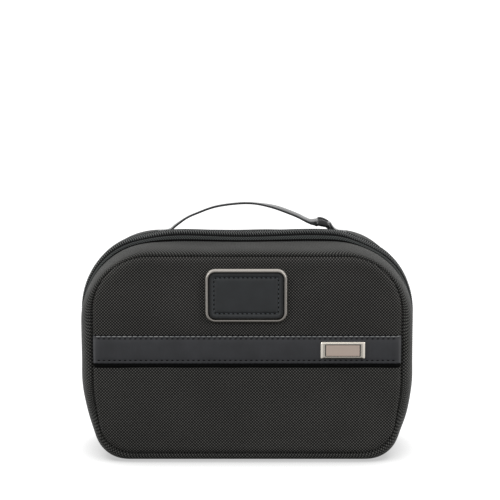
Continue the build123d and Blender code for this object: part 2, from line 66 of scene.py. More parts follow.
# %% Camera
CAMERA_TARGET = Vector((2.26, 0.0, 164.09)) * MM
CAMERA_ELEVATION = math.radians(10.0)
CAMERA_DISTANCE = 1600.0 * MM
VIEW_WIDTH = 403.3 * MM
SENSOR_WIDTH = 36.0

camera_data = bpy.data.cameras.new("camera")
camera_data.sensor_width = SENSOR_WIDTH
camera_data.lens = SENSOR_WIDTH * CAMERA_DISTANCE / VIEW_WIDTH
camera = bpy.data.objects.new("camera", camera_data)
bpy.context.scene.collection.objects.link(camera)
away = Vector((0.0, -math.cos(CAMERA_ELEVATION), math.sin(CAMERA_ELEVATION)))
camera.location = CAMERA_TARGET + away * CAMERA_DISTANCE
camera.rotation_mode = "QUATERNION"
camera.rotation_quaternion = (-away).to_track_quat("-Z", "Y")
bpy.context.scene.camera = camera
print("lens", round(camera_data.lens, 1), "mm")

# %% [markdown]
# Every finish starts from a colour as a designer would note it, in sRGB hex. Blender's shaders want
# linear light, so one function converts them. One more function adds a node with its settings and
# links, so a material reads as a list of what it is made of.

# %% Colour and node helpers
def linear(hex_colour):
    """An sRGB hex colour as linear red, green, blue and alpha."""
    parts = [int(hex_colour[i:i + 2], 16) / 255.0 for i in (1, 3, 5)]
    light = [p / 12.92 if p <= 0.04045 else ((p + 0.055) / 1.055) ** 2.4 for p in parts]
    return (*light, 1.0)


def add_node(material, kind, inputs=None, **settings):
    """Adds a node, sets its properties, and sets or links its inputs. It returns the node."""
    tree = material.node_tree
    node = tree.nodes.new(kind)
    for name, value in settings.items():
        setattr(node, name, value)
    for key, value in (inputs or {}).items():
        if isinstance(value, bpy.types.NodeSocket):
            tree.links.new(value, node.inputs[key])
        else:
            node.inputs[key].default_value = value
    return node


def new_material(name, **surface):
    """A material with one principled surface, whose plain settings are set on its own sockets."""
    material = bpy.data.materials.new(name)
    material.use_nodes = True
    shader = material.node_tree.nodes["Principled BSDF"]
    for key, value in surface.items():
        shader.inputs[key.replace("_", " ")].default_value = value
    return material, shader


def plug(material, socket, target):
    material.node_tree.links.new(socket, target)


# %% [markdown]
# Both cloths are woven from thick nylon yarn, two over and two under, so each crossing stands up as a
# small cushion and the light ones lie on a lattice at 45 degrees. Their light grey is a painted highlight,
# and the near black in the gaps between the cushions is painted shade. The yarn could come from a picture,
# but a product of two sine waves gives the same lattice at any size. The UV map holds millimetres
# along and across each strip of cloth, so the yarn keeps its real width on every piece and follows it
# round the corners. One crossing of the panel's yarn is 1.2 mm wide, which just shows in the picture.
# The lining's, elastic's and binding's yarns are finer than it can show, so they are drawn coarser.

# %% Woven nylon
UV_NAME = "cloth_mm"
YARN_RELIEF = 0.35 * MM
CUSHION_POWER = 0.55


def weave_waves(material, cell):
    """Sockets for one woven pattern: how high the yarn stands and which yarn is on top."""
    place = add_node(material, "ShaderNodeUVMap", uv_map=UV_NAME)
    split = add_node(material, "ShaderNodeSeparateXYZ", {0: place.outputs["UV"]})
    turn = math.pi / cell
    along = add_node(material, "ShaderNodeMath", {0: split.outputs["X"], 1: turn}, operation="MULTIPLY")
    across = add_node(material, "ShaderNodeMath", {0: split.outputs["Y"], 1: turn}, operation="MULTIPLY")
    wave_along = add_node(material, "ShaderNodeMath", {0: along.outputs[0]}, operation="SINE")
    wave_across = add_node(material, "ShaderNodeMath", {0: across.outputs[0]}, operation="SINE")
    both = add_node(material, "ShaderNodeMath", {0: wave_along.outputs[0], 1: wave_across.outputs[0]},
                    operation="MULTIPLY")
    size = add_node(material, "ShaderNodeMath", {0: both.outputs[0]}, operation="ABSOLUTE")
    cushion = add_node(material, "ShaderNodeMath", {0: size.outputs[0], 1: CUSHION_POWER}, operation="POWER")
    top = add_node(material, "ShaderNodeMapRange", {0: both.outputs[0], 1: -0.25, 2: 0.25, 3: 0.0, 4: 1.0},
                   interpolation_type="SMOOTHSTEP")
    return place, cushion.outputs[0], top.outputs[0]


def woven_nylon(name, cell, dark, mid, light, tint, bump, sheen, roughness):
    """Coarse woven nylon: dark gaps as painted shade, mid yarns and light ones as a painted highlight, a slow
    drift of tone and soft bumps.
    """
    material, shader = new_material(name, Roughness=roughness, Sheen_Weight=sheen, Sheen_Roughness=0.45,
                                    Specular_IOR_Level=0.14)
    shader.inputs["Sheen Tint"].default_value = linear(tint)
    shader.inputs["IOR"].default_value = 1.53
    place, cushion, top = weave_waves(material, cell)
    # The yarns on top take the light colour, a painted highlight
    yarn = add_node(material, "ShaderNodeMix", {0: top, 6: linear(mid), 7: linear(light)}, data_type="RGBA")
    # Low in the gaps between the cushions the colour goes dark, painted shade
    cloth = add_node(material, "ShaderNodeMix", {0: cushion, 6: linear(dark), 7: yarn.outputs[2]},
                     data_type="RGBA")
    spot = add_node(material, "ShaderNodeTexCoord")
    drift = add_node(material, "ShaderNodeTexNoise", {0: spot.outputs["Object"], "Scale": 14.0,
                                                      "Detail": 2.0})
    level = add_node(material, "ShaderNodeMapRange", {0: drift.outputs[0], 1: 0.3, 2: 0.7, 3: 0.88, 4: 1.14})
    fuzz = add_node(material, "ShaderNodeTexNoise", {0: place.outputs["UV"], "Scale": 0.9, "Detail": 3.0})
    speck = add_node(material, "ShaderNodeMapRange", {0: fuzz.outputs[0], 1: 0.2, 2: 0.8, 3: 0.86, 4: 1.14})
    tone = add_node(material, "ShaderNodeMath", {0: level.outputs[0], 1: speck.outputs[0]},
                    operation="MULTIPLY")
    shade = add_node(material, "ShaderNodeVectorMath", {0: cloth.outputs[2], 3: tone.outputs[0]},
                     operation="SCALE")
    plug(material, shade.outputs[0], shader.inputs["Base Color"])
    stand = add_node(material, "ShaderNodeMath", {0: top, 1: 0.45, 2: 0.55}, operation="MULTIPLY_ADD")
    height = add_node(material, "ShaderNodeMath", {0: cushion, 1: stand.outputs[0]}, operation="MULTIPLY")
    relief = add_node(material, "ShaderNodeBump", {"Strength": bump, "Distance": YARN_RELIEF,
                                                   "Height": height.outputs[0]})
    plug(material, relief.outputs[0], shader.inputs["Normal"])
    return material


PANEL_CLOTH = woven_nylon("ballistic_nylon_basket_weave", 1.2, "#020202", "#0e0e0e", "#5c5b58",
                          "#c8c6c4", 0.9, 0.02, 0.65)
GUSSET_CLOTH = woven_nylon("ballistic_nylon_gusset_weave", 1.2, "#030303", "#121212", "#5e5e5b",
                           "#c8c8c6", 0.9, 0.02, 0.62)
TAPE_CLOTH = woven_nylon("zip_tape_woven_polyester", 0.95, "#030404", "#121414", "#4c504f",
                         "#c4cccc", 0.9, 0.05, 0.62)
LINING_CLOTH = woven_nylon("lining_taffeta", 0.6, "#3a3d42", "#4a4e55", "#5d626a", "#c8ccd8", 0.25, 0.1, 0.5)
ELASTIC_CLOTH = woven_nylon("knitted_elastic_edge", 0.7, "#121314", "#232528", "#44484d", "#b0b4bc",
                            0.8, 0.1, 0.7)
BINDING_CLOTH = woven_nylon("twill_binding_tape", 0.6, "#121213", "#1f2022", "#2e3033", "#b0b4bc",
                            0.5, 0.1, 0.7)
print("woven cloths made, the panel's crossings 1.2 mm wide")

# %% [markdown]
# The band, patch and handle are smooth coated leather: almost flat, with a fine grain of pebbles under
# half a millimetre across, which breaks up the gloss. Foam, polished and brushed metal and moulded
# nylon teeth finish the list. Metals keep Blender's own IOR and take their look from roughness.

# %% Leather, foam, metal and moulded nylon
# A brush line is this share as dense along X as across it
BRUSH_SHARE = 0.06


def coated_leather(name, colour, worn, roughness, grain=0.45):
    """Smooth coated leather with pebbled grain and slightly lighter high spots."""
    material, shader = new_material(name, Roughness=roughness, IOR=1.5, Coat_Weight=0.12, Coat_Roughness=0.35)
    spot = add_node(material, "ShaderNodeTexCoord")
    pebbles = add_node(material, "ShaderNodeTexVoronoi", {"Vector": spot.outputs["Object"],
                                                          "Scale": 1.0 / (grain * MM)},
                       feature="SMOOTH_F1")
    cloud = add_node(material, "ShaderNodeTexNoise", {0: spot.outputs["Object"], "Scale": 60.0,
                                                      "Detail": 4.0})
    blend = add_node(material, "ShaderNodeMapRange", {0: cloud.outputs[0], 1: 0.35, 2: 0.75})
    tone = add_node(material, "ShaderNodeMix", {0: blend.outputs[0], 6: linear(colour), 7: linear(worn)},
                    data_type="RGBA")
    plug(material, tone.outputs[2], shader.inputs["Base Color"])
    relief = add_node(material, "ShaderNodeBump", {"Strength": 0.22, "Distance": 0.12 * MM,
                                                   "Height": pebbles.outputs[0]})
    plug(material, relief.outputs[0], shader.inputs["Normal"])
    return material


def worked_metal(name, colour, roughness, brush_mm):
    """Plated metal with fine brush lines along X, which spread its highlights."""
    material, shader = new_material(name, Metallic=1.0)
    spot = add_node(material, "ShaderNodeTexCoord")
    across = 1.0 / (brush_mm * MM)
    stretch = add_node(material, "ShaderNodeMapping", {0: spot.outputs["Object"],
                                                       "Scale": (BRUSH_SHARE * across, across, across)})
    lines = add_node(material, "ShaderNodeTexNoise", {0: stretch.outputs[0], "Scale": 1.0, "Detail": 3.0})
    gloss = add_node(material, "ShaderNodeMapRange", {0: lines.outputs[0], 1: 0.3, 2: 0.7,
                                                      3: roughness * 0.92, 4: roughness * 1.1})
    plug(material, gloss.outputs[0], shader.inputs["Roughness"])
    tone = add_node(material, "ShaderNodeMapRange", {0: lines.outputs[0], 1: 0.2, 2: 0.8, 3: 0.95, 4: 1.03})
    shade = add_node(material, "ShaderNodeVectorMath", {0: linear(colour)[:3], 3: tone.outputs[0]},
                     operation="SCALE")
    plug(material, shade.outputs[0], shader.inputs["Base Color"])
    return material


def moulded_nylon(name, colour, light, roughness, specular=0.5):
    """Moulded nylon: a satin skin with a faint cloud of tone from the mould."""
    material, shader = new_material(name, Roughness=roughness, IOR=1.53, Specular_IOR_Level=specular)
    spot = add_node(material, "ShaderNodeTexCoord")
    cloud = add_node(material, "ShaderNodeTexNoise", {0: spot.outputs["Object"], "Scale": 900.0})
    tone = add_node(material, "ShaderNodeMix", {0: cloud.outputs[0], 6: linear(colour), 7: linear(light)},
                    data_type="RGBA")
    plug(material, tone.outputs[2], shader.inputs["Base Color"])
    return material


def open_foam(name, colour, light):
    """Cut polyether foam: matt, with open cells about a millimetre across."""
    material, shader = new_material(name, Roughness=0.95)
    spot = add_node(material, "ShaderNodeTexCoord")
    cells = add_node(material, "ShaderNodeTexVoronoi", {"Vector": spot.outputs["Object"], "Scale": 1000.0})
    tone = add_node(material, "ShaderNodeMix", {0: cells.outputs[0], 6: linear(colour), 7: linear(light)},
                    data_type="RGBA")
    plug(material, tone.outputs[2], shader.inputs["Base Color"])
    relief = add_node(material, "ShaderNodeBump", {"Strength": 0.6, "Distance": 0.4 * MM,
                                                   "Height": cells.outputs[0]})
    plug(material, relief.outputs[0], shader.inputs["Normal"])
    return material


BAND_LEATHER = coated_leather("coated_leather_band", "#232427", "#2d2e32", 0.5)
PATCH_LEATHER = coated_leather("coated_leather_patch", "#1a1d1f", "#24272a", 0.55)
HANDLE_LEATHER = coated_leather("coated_leather_handle", "#18191b", "#2c2e30", 0.26)
# Light grey leather for the band's top edge folds, a painted highlight where they catch the light
EDGE_HIGHLIGHT_LEATHER = coated_leather("band_edge_painted_highlight", "#77787a", "#9c9c9a", 0.3)
RING_LEATHER = coated_leather("burnished_leather_keeper", "#111213", "#1e1f21", 0.16)
FRAME_METAL = worked_metal("satin_nickel_plated_zinc", "#a8a39d", 0.22, 0.08)
PLATE_METAL = worked_metal("brushed_champagne_nickel", "#e4ddd2", 0.24, 0.08)
INLAY_METAL = worked_metal("etched_nickel_field", "#e6d3c6", 0.4, 0.06)
BACKING_METAL = worked_metal("rolled_steel_backing", "#8f9294", 0.38, 0.1)
DARK_METAL = worked_metal("black_nickel_zip_hardware", "#4a4b4e", 0.3, 0.08)
TOOTH_NYLON = moulded_nylon("moulded_nylon_zip_coil", "#2a2c2c", "#505352", 0.32)
PATCH_THREAD = moulded_nylon("waxed_nylon_patch_thread", "#3c4348", "#545b61", 0.4)
# Black for the real stitches, and for the cords and bars that paint the shade in seams, beside the band and
# in stitch holes
BLACK_THREAD_AND_SHADE = moulded_nylon("black_thread_and_painted_shade", "#040404", "#0a0a0a", 0.9, specular=0.05)
# Near black for the tape under the teeth, painted shade between the teeth
COIL_BED_SHADE = moulded_nylon("coil_bed_painted_shade", "#050506", "#0c0d0d", 0.85, specular=0.1)
FOAM = open_foam("cut_polyether_foam", "#4b4b4d", "#6a6a6c")
print("materials made", len(bpy.data.materials))

# %% [markdown]
# The bag's shape is a stack of rounded outlines: the seam round the panel, the widest line of the
# gusset and the line of the zip. Each is four runs and four arcs and narrows towards the foot. Every
# outline is cut into the same number of steps, so that any two can be joined point by point. The
# greatest widths and heights come from the frame. The half width at the foot, the height where a side
# begins to narrow and the radii are written here, in millimetres.

# %% Outlines
def frame_mm(node):
    """The lowest and highest corner of one of the frame's nodes, in millimetres."""
    low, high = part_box(node)
    return np.array(low) / MM, np.array(high) / MM


panel_low, panel_high = frame_mm("front_panel")
gusset_high = frame_mm("front_gusset")[1]
rear_high = frame_mm("rear_gusset")[1]
back_high = frame_mm("back_panel")[1]
teeth_high = frame_mm("front_zip_teeth")[1]

SEAM = dict(half=panel_high[0], foot=114.0, bottom=panel_low[2], top=panel_high[2],
            taper=58.0, corner=44.0, foot_corner=27.0, bend=100.0)
FRONT_BELLY = dict(half=gusset_high[0], foot=114.5, bottom=0.0, top=gusset_high[2],
                   taper=48.0, corner=60.0, foot_corner=25.0, bend=120.0)
REAR_BELLY = dict(FRONT_BELLY, top=rear_high[2], corner=56.0)
ZIP = dict(half=teeth_high[0], foot=102.0, bottom=0.0, top=teeth_high[2],
           taper=52.0, corner=65.0, foot_corner=10.0, bend=40.0)

# Steps of one half of an outline: base, foot arc, slanted side, bend, side, top arc, top
STEPS = (41, 14, 12, 10, 22, 36, 30)
HALF_STEPS = sum(STEPS)
LOOP = 2 * HALF_STEPS
FOOT_CORNER = STEPS[0] + STEPS[1] // 2
TOP_CORNER = HALF_STEPS - STEPS[6] - STEPS[5] // 2


def arc_points(before, corner, after, radius, steps):
    """The points of an arc that rounds a corner between two straight runs."""
    towards_before = (before - corner) / np.linalg.norm(before - corner)
    towards_after = (after - corner) / np.linalg.norm(after - corner)
    half_angle = math.acos(float(towards_before @ towards_after)) / 2
    middle = towards_before + towards_after
    centre = corner + middle / np.linalg.norm(middle) * radius / math.sin(half_angle)
    start = corner + towards_before * radius / math.tan(half_angle) - centre
    end = corner + towards_after * radius / math.tan(half_angle) - centre
    sweep = math.pi - 2 * half_angle
    share = np.linspace(0, 1, steps + 1)[:, None]
    return centre + (np.sin((1 - share) * sweep) * start + np.sin(share * sweep) * end) / math.sin(sweep)


def outline(sizes, inset=0.0, soften=2):
    """A closed outline as x and z, from the middle of the base round by the right side."""
    lean = math.atan2(sizes["half"] - sizes["foot"], sizes["taper"] - sizes["bottom"])
    half = sizes["half"] - inset
    foot = sizes["foot"] - inset * (1.0 - math.sin(lean)) / math.cos(lean)
    taper = sizes["taper"] + inset * math.tan(lean / 2)
    bottom = sizes["bottom"] + inset
    top = sizes["top"] - inset
    middle = np.array((0.0, bottom))
    foot_point = np.array((foot, bottom))
    bend_point = np.array((half, taper))
    top_point = np.array((half, top))
    end = np.array((0.0, top))
    foot_arc = arc_points(middle, foot_point, bend_point, max(sizes["foot_corner"] - inset, 1.0), STEPS[1])
    bend_arc = arc_points(foot_point, bend_point, top_point, sizes["bend"] - inset, STEPS[3])
    top_arc = arc_points(bend_point, top_point, end, max(sizes["corner"] - inset, 1.0), STEPS[5])
    runs = [np.linspace(middle, foot_arc[0], STEPS[0], endpoint=False), foot_arc[:-1],
            np.linspace(foot_arc[-1], bend_arc[0], STEPS[2], endpoint=False), bend_arc[:-1],
            np.linspace(bend_arc[-1], top_arc[0], STEPS[4], endpoint=False), top_arc[:-1],
            np.linspace(top_arc[-1], end, STEPS[6] + 1)]
    right = np.vstack(runs)
    left = right[1:-1][::-1] * (-1, 1)
    loop = np.vstack([right, left])
    for _ in range(soften):
        loop = (np.roll(loop, 1, axis=0) + 2 * loop + np.roll(loop, -1, axis=0)) / 4
    return loop


def lengths_along(line):
    """The length from a line's first point to each of its points."""
    steps = np.linalg.norm(np.diff(line, axis=0), axis=1)
    return np.concatenate([[0.0], np.cumsum(steps)])


def outward(line):
    """The direction that points out of a closed line at each of its points."""
    ahead = np.roll(line, -1, axis=0) - np.roll(line, 1, axis=0)
    ahead /= np.linalg.norm(ahead, axis=1, keepdims=True)
    return np.column_stack([ahead[:, 1], -ahead[:, 0]])


class Half:
    """One half of the bag: which way it faces, how deep it is, its widest outline and its body."""

    def __init__(self, name, side, depth, pillow, belly):
        self.name = name
        self.side = side
        self.depth = depth
        self.seam = depth - pillow
        self.belly = belly
        self.body = name + "_half"
        self.panel = "front_panel" if side < 0 else "back_panel"


PILLOW = 4.5
FRONT = Half("front", -1, -panel_low[1], PILLOW, FRONT_BELLY)
REAR = Half("rear", 1, back_high[1], PILLOW, REAR_BELLY)
print("outline points", LOOP, "front depth", FRONT.depth, "rear depth", REAR.depth)

# %% [markdown]
# A real bag is never as straight as its pattern. The zip line hangs nearly two millimetres lower in
# the middle than near the ends of the handle, droops at its shoulders, and the rear half narrows a
# little at the top. One function gives that settling to the soft pieces, so neighbours stay together.

# %% Settling of the cloth
SAG_MIDDLE_X = -3.0
SAG_WAVE = 116.0
SAG_DEPTH = 0.9
# Where the zip line droops at its left and right shoulders: middle, width and depth
SHOULDERS = ((-80.0, 17.0, 2.4), (98.0, 21.0, 3.0))
ZIP_NEARNESS = 11.0
# Where the sag and the droop set in and where they are full: heights, and half widths for the sag
SAG_HEIGHTS = (120.0, 172.0)
SAG_HALF_WIDTHS = (112.0, 70.0)
DROOP_HEIGHTS = (110.0, 160.0)
# The rear half is this much narrower at the top on each side, at this half width
REAR_NARROWING = 3.6
NARROWED_HALF_WIDTH = 126.0
NARROWING_DEPTHS = (6.0, 30.0)
NARROWING_HEIGHTS = (95.0, 145.0)


def smooth(value, low, high):
    """0 below low, 1 above high and a soft step between, also where high is under low."""
    share = np.clip((value - low) / (high - low), 0.0, 1.0)
    return share * share * (3 - 2 * share)


def settle(points):
    """Moves points of the soft shell, in millimetres, as the cloth hangs on the real bag."""
    moved = np.array(points, float)
    x, y, z = moved[..., 0], moved[..., 1], moved[..., 2]
    near_zip = np.exp(-(y / ZIP_NEARNESS) ** 2)
    near_top = smooth(z, *SAG_HEIGHTS) * smooth(np.abs(x), *SAG_HALF_WIDTHS)
    wave = -np.cos(2 * math.pi * (x - SAG_MIDDLE_X) / SAG_WAVE)
    droop = sum(depth * np.exp(-((x - middle) / width) ** 2) for middle, width, depth in SHOULDERS)
    droop = droop * smooth(z, *DROOP_HEIGHTS)
    moved[..., 2] = z + (SAG_DEPTH * wave * near_top - droop) * near_zip
    narrowing = REAR_NARROWING * smooth(y, *NARROWING_DEPTHS) * smooth(z, *NARROWING_HEIGHTS)
    moved[..., 0] = x - narrowing * x / NARROWED_HALF_WIDTH
    return moved


# %% [markdown]
# A net of points becomes a mesh of four-sided faces. The UV map takes real lengths along the outline
# and across the strip. A thickness is then given behind the faces, and edges are marked sharp by their
# angle, so that folded cloth stays soft and plates stay crisp.

# %% Nets to meshes
# Small round pieces keep their edges sharp over this angle
ROUND_SHARP = 60.0


def link_mesh(name, vertices, faces, material):
    """A new object from points in millimetres."""
    mesh = bpy.data.meshes.new(name)
    mesh.from_pydata((np.asarray(vertices, float) * MM).tolist(), [], [list(map(int, f)) for f in faces])
    mesh.materials.append(material)
    obj = bpy.data.objects.new(name, mesh)
    bpy.context.scene.collection.objects.link(obj)
    mesh.update()
    return obj


def set_uv(obj, corner_uv):
    """Lays the cloth out flat: a place in millimetres for each corner of each face."""
    layer = obj.data.uv_layers.new(name=UV_NAME)
    layer.data.foreach_set("uv", np.asarray(corner_uv, np.float32).ravel())


def finish_mesh(obj, sharp_degrees=180.0):
    """Smooth faces, with edges over an angle kept sharp."""
    mesh = obj.data
    mesh.polygons.foreach_set("use_smooth", [True] * len(mesh.polygons))
    mesh.set_sharp_from_angle(angle=math.radians(sharp_degrees))
    mesh.update()
    return obj


def thicken(obj, thickness):
    """Gives a sheet of cloth a thickness, in millimetres, behind its faces."""
    solid = obj.modifiers.new("thickness", "SOLIDIFY")
    solid.thickness = thickness * MM
    solid.offset = -1.0
    solid.use_even_offset = False
    graph = bpy.context.evaluated_depsgraph_get()
    mesh = bpy.data.meshes.new_from_object(obj.evaluated_get(graph), depsgraph=graph)
    obj.modifiers.clear()
    obj.data = mesh


def net_piece(name, net, material, closed=False, flip=False, thickness=0.0, sharp=180.0):
    """A strip of cloth from rows of points: row by row across, point by point along."""
    rows, count = net.shape[:2]
    last = count if closed else count - 1
    looped = np.concatenate([net, net[:, :1]], axis=1) if closed else net
    steps = np.linalg.norm(np.diff(looped, axis=1), axis=2).mean(axis=0)
    along = np.concatenate([[0.0], np.cumsum(steps)])
    across_steps = np.linalg.norm(np.diff(net, axis=0), axis=2).mean(axis=1)
    across = np.concatenate([[0.0], np.cumsum(across_steps)])
    faces = []
    corner_uv = []
    for r in range(rows - 1):
        for c in range(last):
            n = (c + 1) % count
            face = [r * count + c, r * count + n, (r + 1) * count + n, (r + 1) * count + c]
            places = [(along[c], across[r]), (along[c + 1], across[r]),
                      (along[c + 1], across[r + 1]), (along[c], across[r + 1])]
            if flip:
                face = face[::-1]
                places = places[::-1]
            faces.append(face)
            corner_uv.extend(places)
    obj = link_mesh(name, net.reshape(-1, 3), faces, material)
    set_uv(obj, corner_uv)
    if thickness:
        thicken(obj, thickness)
    return finish_mesh(obj, sharp)


def ring(half, points, distance):
    """An outline stood at a distance from the zip plane. The distance may differ point by point."""
    y = half.side * np.broadcast_to(distance, len(points))
    return np.column_stack([points[:, 0], y, points[:, 1]])


def between(low, high, share):
    """The place that lies a share of the way from one place to another."""
    return low + (high - low) * share


# %% [markdown]
# The gusset is the long strip that runs all round each half, from the panel seam to the zip. On the
# real bag it bulges forward a little beside the seam, turns over a soft edge and comes to rest in the
# valley beside the zip. It could be one bent plate, but a profile of some twenty points, carried round
# the outline, gives the rolled look of sewn cloth. Along the base it runs on to the hinge line.

# %% Gussets
GUSSET_PROFILE = (
    # share from seam to belly, inset from the belly, distance behind the seam
    (-0.02, 0.0, 2.4), (0.01, 0.0, 1.2), (0.06, 0.0, 0.2), (0.14, 0.0, -0.5), (0.25, 0.0, -0.8),
    (0.37, 0.0, -0.5), (0.49, 0.0, 0.3), (0.61, 0.0, 1.8), (0.72, 0.0, 3.8), (0.82, 0.0, 6.6),
    (0.90, 0.0, 10.0), (0.96, 0.0, 14.0), (0.99, 0.0, 18.0), (1.0, -0.15, 22.0),
)
GUSSET_LIP = (
    # inset from the belly, distance from the zip plane
    (-0.15, 17.0), (-0.2, 14.6), (-0.25, 12.8), (0.0, 11.6), (0.5, 10.6), (1.4, 9.9), (2.4, 9.5),
    (3.0, 10.0),
)
LIP_FULL = 9.3
BASE_EDGE = 0.4
GUSSET_THICKNESS = 0.9
# Along the base: where the gusset turns flat and runs on to the hinge, as heights and half widths
BASE_HEIGHTS = (9.0, 4.5)
BASE_HALF_WIDTHS = (112.0, 104.0)
# How deep and how wide the cloth's faint dents are, the heights at which a gusset's dents begin and
# are full, and where their random draws start
DENT_DEPTH = 0.5
DENT_WIDTHS = (22.0, 60.0)
DENT_HEIGHTS = (6.0, 30.0)
DENT_WAVES = 7
GUSSET_SEED = 11
PANEL_SEED = 31
INNER_INSET = 8.0


def base_share(points):
    """1 along the base, where the cloth runs on to the hinge, and 0 up the sides."""
    return smooth(points[:, 1], *BASE_HEIGHTS) * smooth(np.abs(points[:, 0]), *BASE_HALF_WIDTHS)


def dents(points, seed, size):
    """Slow shallow waves, different on each piece but the same on each run."""
    rng = np.random.default_rng(seed)
    value = np.zeros(points.shape[:-1])
    for _ in range(DENT_WAVES):
        direction = rng.normal(size=3)
        direction /= np.linalg.norm(direction)
        wave = rng.uniform(*DENT_WIDTHS)
        value += np.sin(points @ direction * 2 * math.pi / wave + rng.uniform(0, 2 * math.pi))
    return value / DENT_WAVES * size


def gusset_net(half):
    """The gusset's rows, from inside the panel seam to the lip in the valley beside the zip."""
    seam = outline(SEAM)
    belly = outline(half.belly)
    hinge = base_share(belly)
    rows = []
    for share, inset, behind in GUSSET_PROFILE:
        widest = outline(half.belly, inset) if inset else belly
        rows.append(ring(half, between(seam, widest, share), half.seam - behind))
    start = GUSSET_LIP[0][1]
    for inset, distance in GUSSET_LIP:
        share = (start - distance) / (start - LIP_FULL)
        flat = between(start, BASE_EDGE, min(share, 1.0))
        loop = between(outline(half.belly, inset), belly, hinge[:, None])
        rows.append(ring(half, loop, between(distance, flat, hinge)))
    net = np.array(rows)
    # The dents push towards or away from a smaller outline in the same plane
    inner = np.array([ring(half, outline(half.belly, INNER_INSET), abs(row[0, 1])) for row in net])
    away = net - inner
    away[..., 1] = 0.0
    away /= np.maximum(np.linalg.norm(away, axis=2, keepdims=True), 1e-6)
    free = np.sin(np.linspace(0, math.pi, len(net)))[:, None, None]
    upper = smooth(net[..., 2], *DENT_HEIGHTS)[..., None]
    net = net + away * dents(net, GUSSET_SEED + half.side, DENT_DEPTH)[..., None] * free * upper
    net = settle(net)
    # The thickness goes down from here to the floor
    net[..., 2] = np.maximum(net[..., 2], GUSSET_THICKNESS)
    return net


for half in (FRONT, REAR):
    gusset = net_piece(half.name + "_gusset_cloth", gusset_net(half), GUSSET_CLOTH, closed=True,
                       flip=half.side > 0, thickness=GUSSET_THICKNESS)
    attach(gusset, half.body)
    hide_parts(half.name + "_gusset")
    print(gusset.name, len(gusset.data.vertices), "points")

# %% [markdown]
# Each big panel is a sheet of the coarse cloth over foam, rolled in at its seam. The middle could be a
# flat sheet, but the real one swells between the seam, the band and the rivets. So the net is pinned
# where it is sewn or riveted, a cloth simulation blows it up a little from inside, and the swelling is
# capped at what thin foam allows.

# %% Panels
PANEL_RIM = ((0.5, -2.6), (0.1, -1.4), (0.0, -0.2), (0.12, 1.0), (0.5, 2.1), (1.1, 3.0),
             (2.0, 3.7), (3.2, 4.2), (4.8, 4.45), (7.0, 4.5))
PANEL_THICKNESS = 1.0
PANEL_CAP = 1.0
SWELL_FRAMES = 20
# The panel's sewn line, and the distances from it, from the band's middle and from the frame at which
# the panel is free and at which it is held
SEWN_INSET = 6.0
SEWN_HOLD = (9.0, 2.0)
BAND_HOLD = (14.0, 11.6)
FRAME_HOLD = (5.0, 0.5)
BAND_BOX = frame_mm("leather_band")
FRAME_BOX = frame_mm("patch_frame")


def inner_grid(loop):
    """A grid of points inside a loop, from its four sides."""
    base = np.array([loop[i % LOOP] for i in range(-FOOT_CORNER, FOOT_CORNER + 1)])
    right = loop[FOOT_CORNER:TOP_CORNER + 1]
    top = loop[TOP_CORNER:LOOP - TOP_CORNER + 1][::-1]
    left = np.array([loop[i % LOOP] for i in range(LOOP - TOP_CORNER, LOOP - FOOT_CORNER + 1)])[::-1]
    s = np.linspace(0, 1, len(base))[None, :, None]
    t = np.linspace(0, 1, len(right))[:, None, None]
    sides = (1 - s) * left[:, None] + s * right[:, None]
    ends = (1 - t) * base[None] + t * top[None]
    corners = ((1 - s) * (1 - t) * base[0] + s * (1 - t) * base[-1]
               + (1 - s) * t * top[0] + s * t * top[-1])
    return sides + ends - corners


def capped_shell(name, rows, material, flip):
    """A rim of rows round a loop, closed by a grid. The UV map is the piece seen from the front."""
    grid = inner_grid(rows[-1])
    high, wide = grid.shape[:2]
    rim = rows[:-1]
    vertices = np.concatenate(rim + [grid.reshape(-1, 3)])
    first = len(rim) * LOOP
    # Which point of the grid each point of the last rim row joins: base, right, top, left, base
    border = np.zeros(LOOP, int)
    for i in range(LOOP):
        if i <= FOOT_CORNER:
            border[i] = first + FOOT_CORNER + i
        elif i <= TOP_CORNER:
            border[i] = first + (i - FOOT_CORNER) * wide + wide - 1
        elif i <= LOOP - TOP_CORNER:
            border[i] = first + (high - 1) * wide + (LOOP - TOP_CORNER - i)
        elif i <= LOOP - FOOT_CORNER:
            border[i] = first + (LOOP - FOOT_CORNER - i) * wide
        else:
            border[i] = first + FOOT_CORNER - (LOOP - i)
    faces = []
    for r in range(len(rim)):
        for c in range(LOOP):
            n = (c + 1) % LOOP
            if r + 1 < len(rim):
                faces.append([r * LOOP + c, r * LOOP + n, (r + 1) * LOOP + n, (r + 1) * LOOP + c])
            else:
                faces.append([r * LOOP + c, r * LOOP + n, border[n], border[c]])
    for r in range(high - 1):
        for c in range(wide - 1):
            a = first + r * wide + c
            faces.append([a, a + 1, a + wide + 1, a + wide])
    if flip:
        faces = [face[::-1] for face in faces]
    obj = link_mesh(name, vertices, faces, material)
    set_uv(obj, vertices[[i for face in faces for i in face]][:, (0, 2)])
    obj["rim_points"] = first
    return obj


def outside(place, low, high):
    """How far a place lies outside a span, or below zero inside it."""
    return np.abs(place - (low + high) / 2) - (high - low) / 2


def panel_pins(vertices, half):
    """1 where the panel is sewn or riveted down, 0 where it is free to swell."""
    x, z = vertices[:, 0], vertices[:, 2]
    seam = outline(SEAM, SEWN_INSET)
    nearest = np.full(len(vertices), 1e9)
    for i in range(0, LOOP, 2):
        nearest = np.minimum(nearest, np.hypot(x - seam[i, 0], z - seam[i, 1]))
    pins = smooth(nearest, *SEWN_HOLD)
    if half is FRONT:
        low, high = BAND_BOX
        pins = np.maximum(pins, smooth(np.abs(z - (low[2] + high[2]) / 2), *BAND_HOLD))
        low, high = FRAME_BOX
        beside = np.maximum(outside(x, low[0], high[0]), outside(z, low[2], high[2]))
        pins = np.maximum(pins, smooth(beside, *FRAME_HOLD))
    return pins


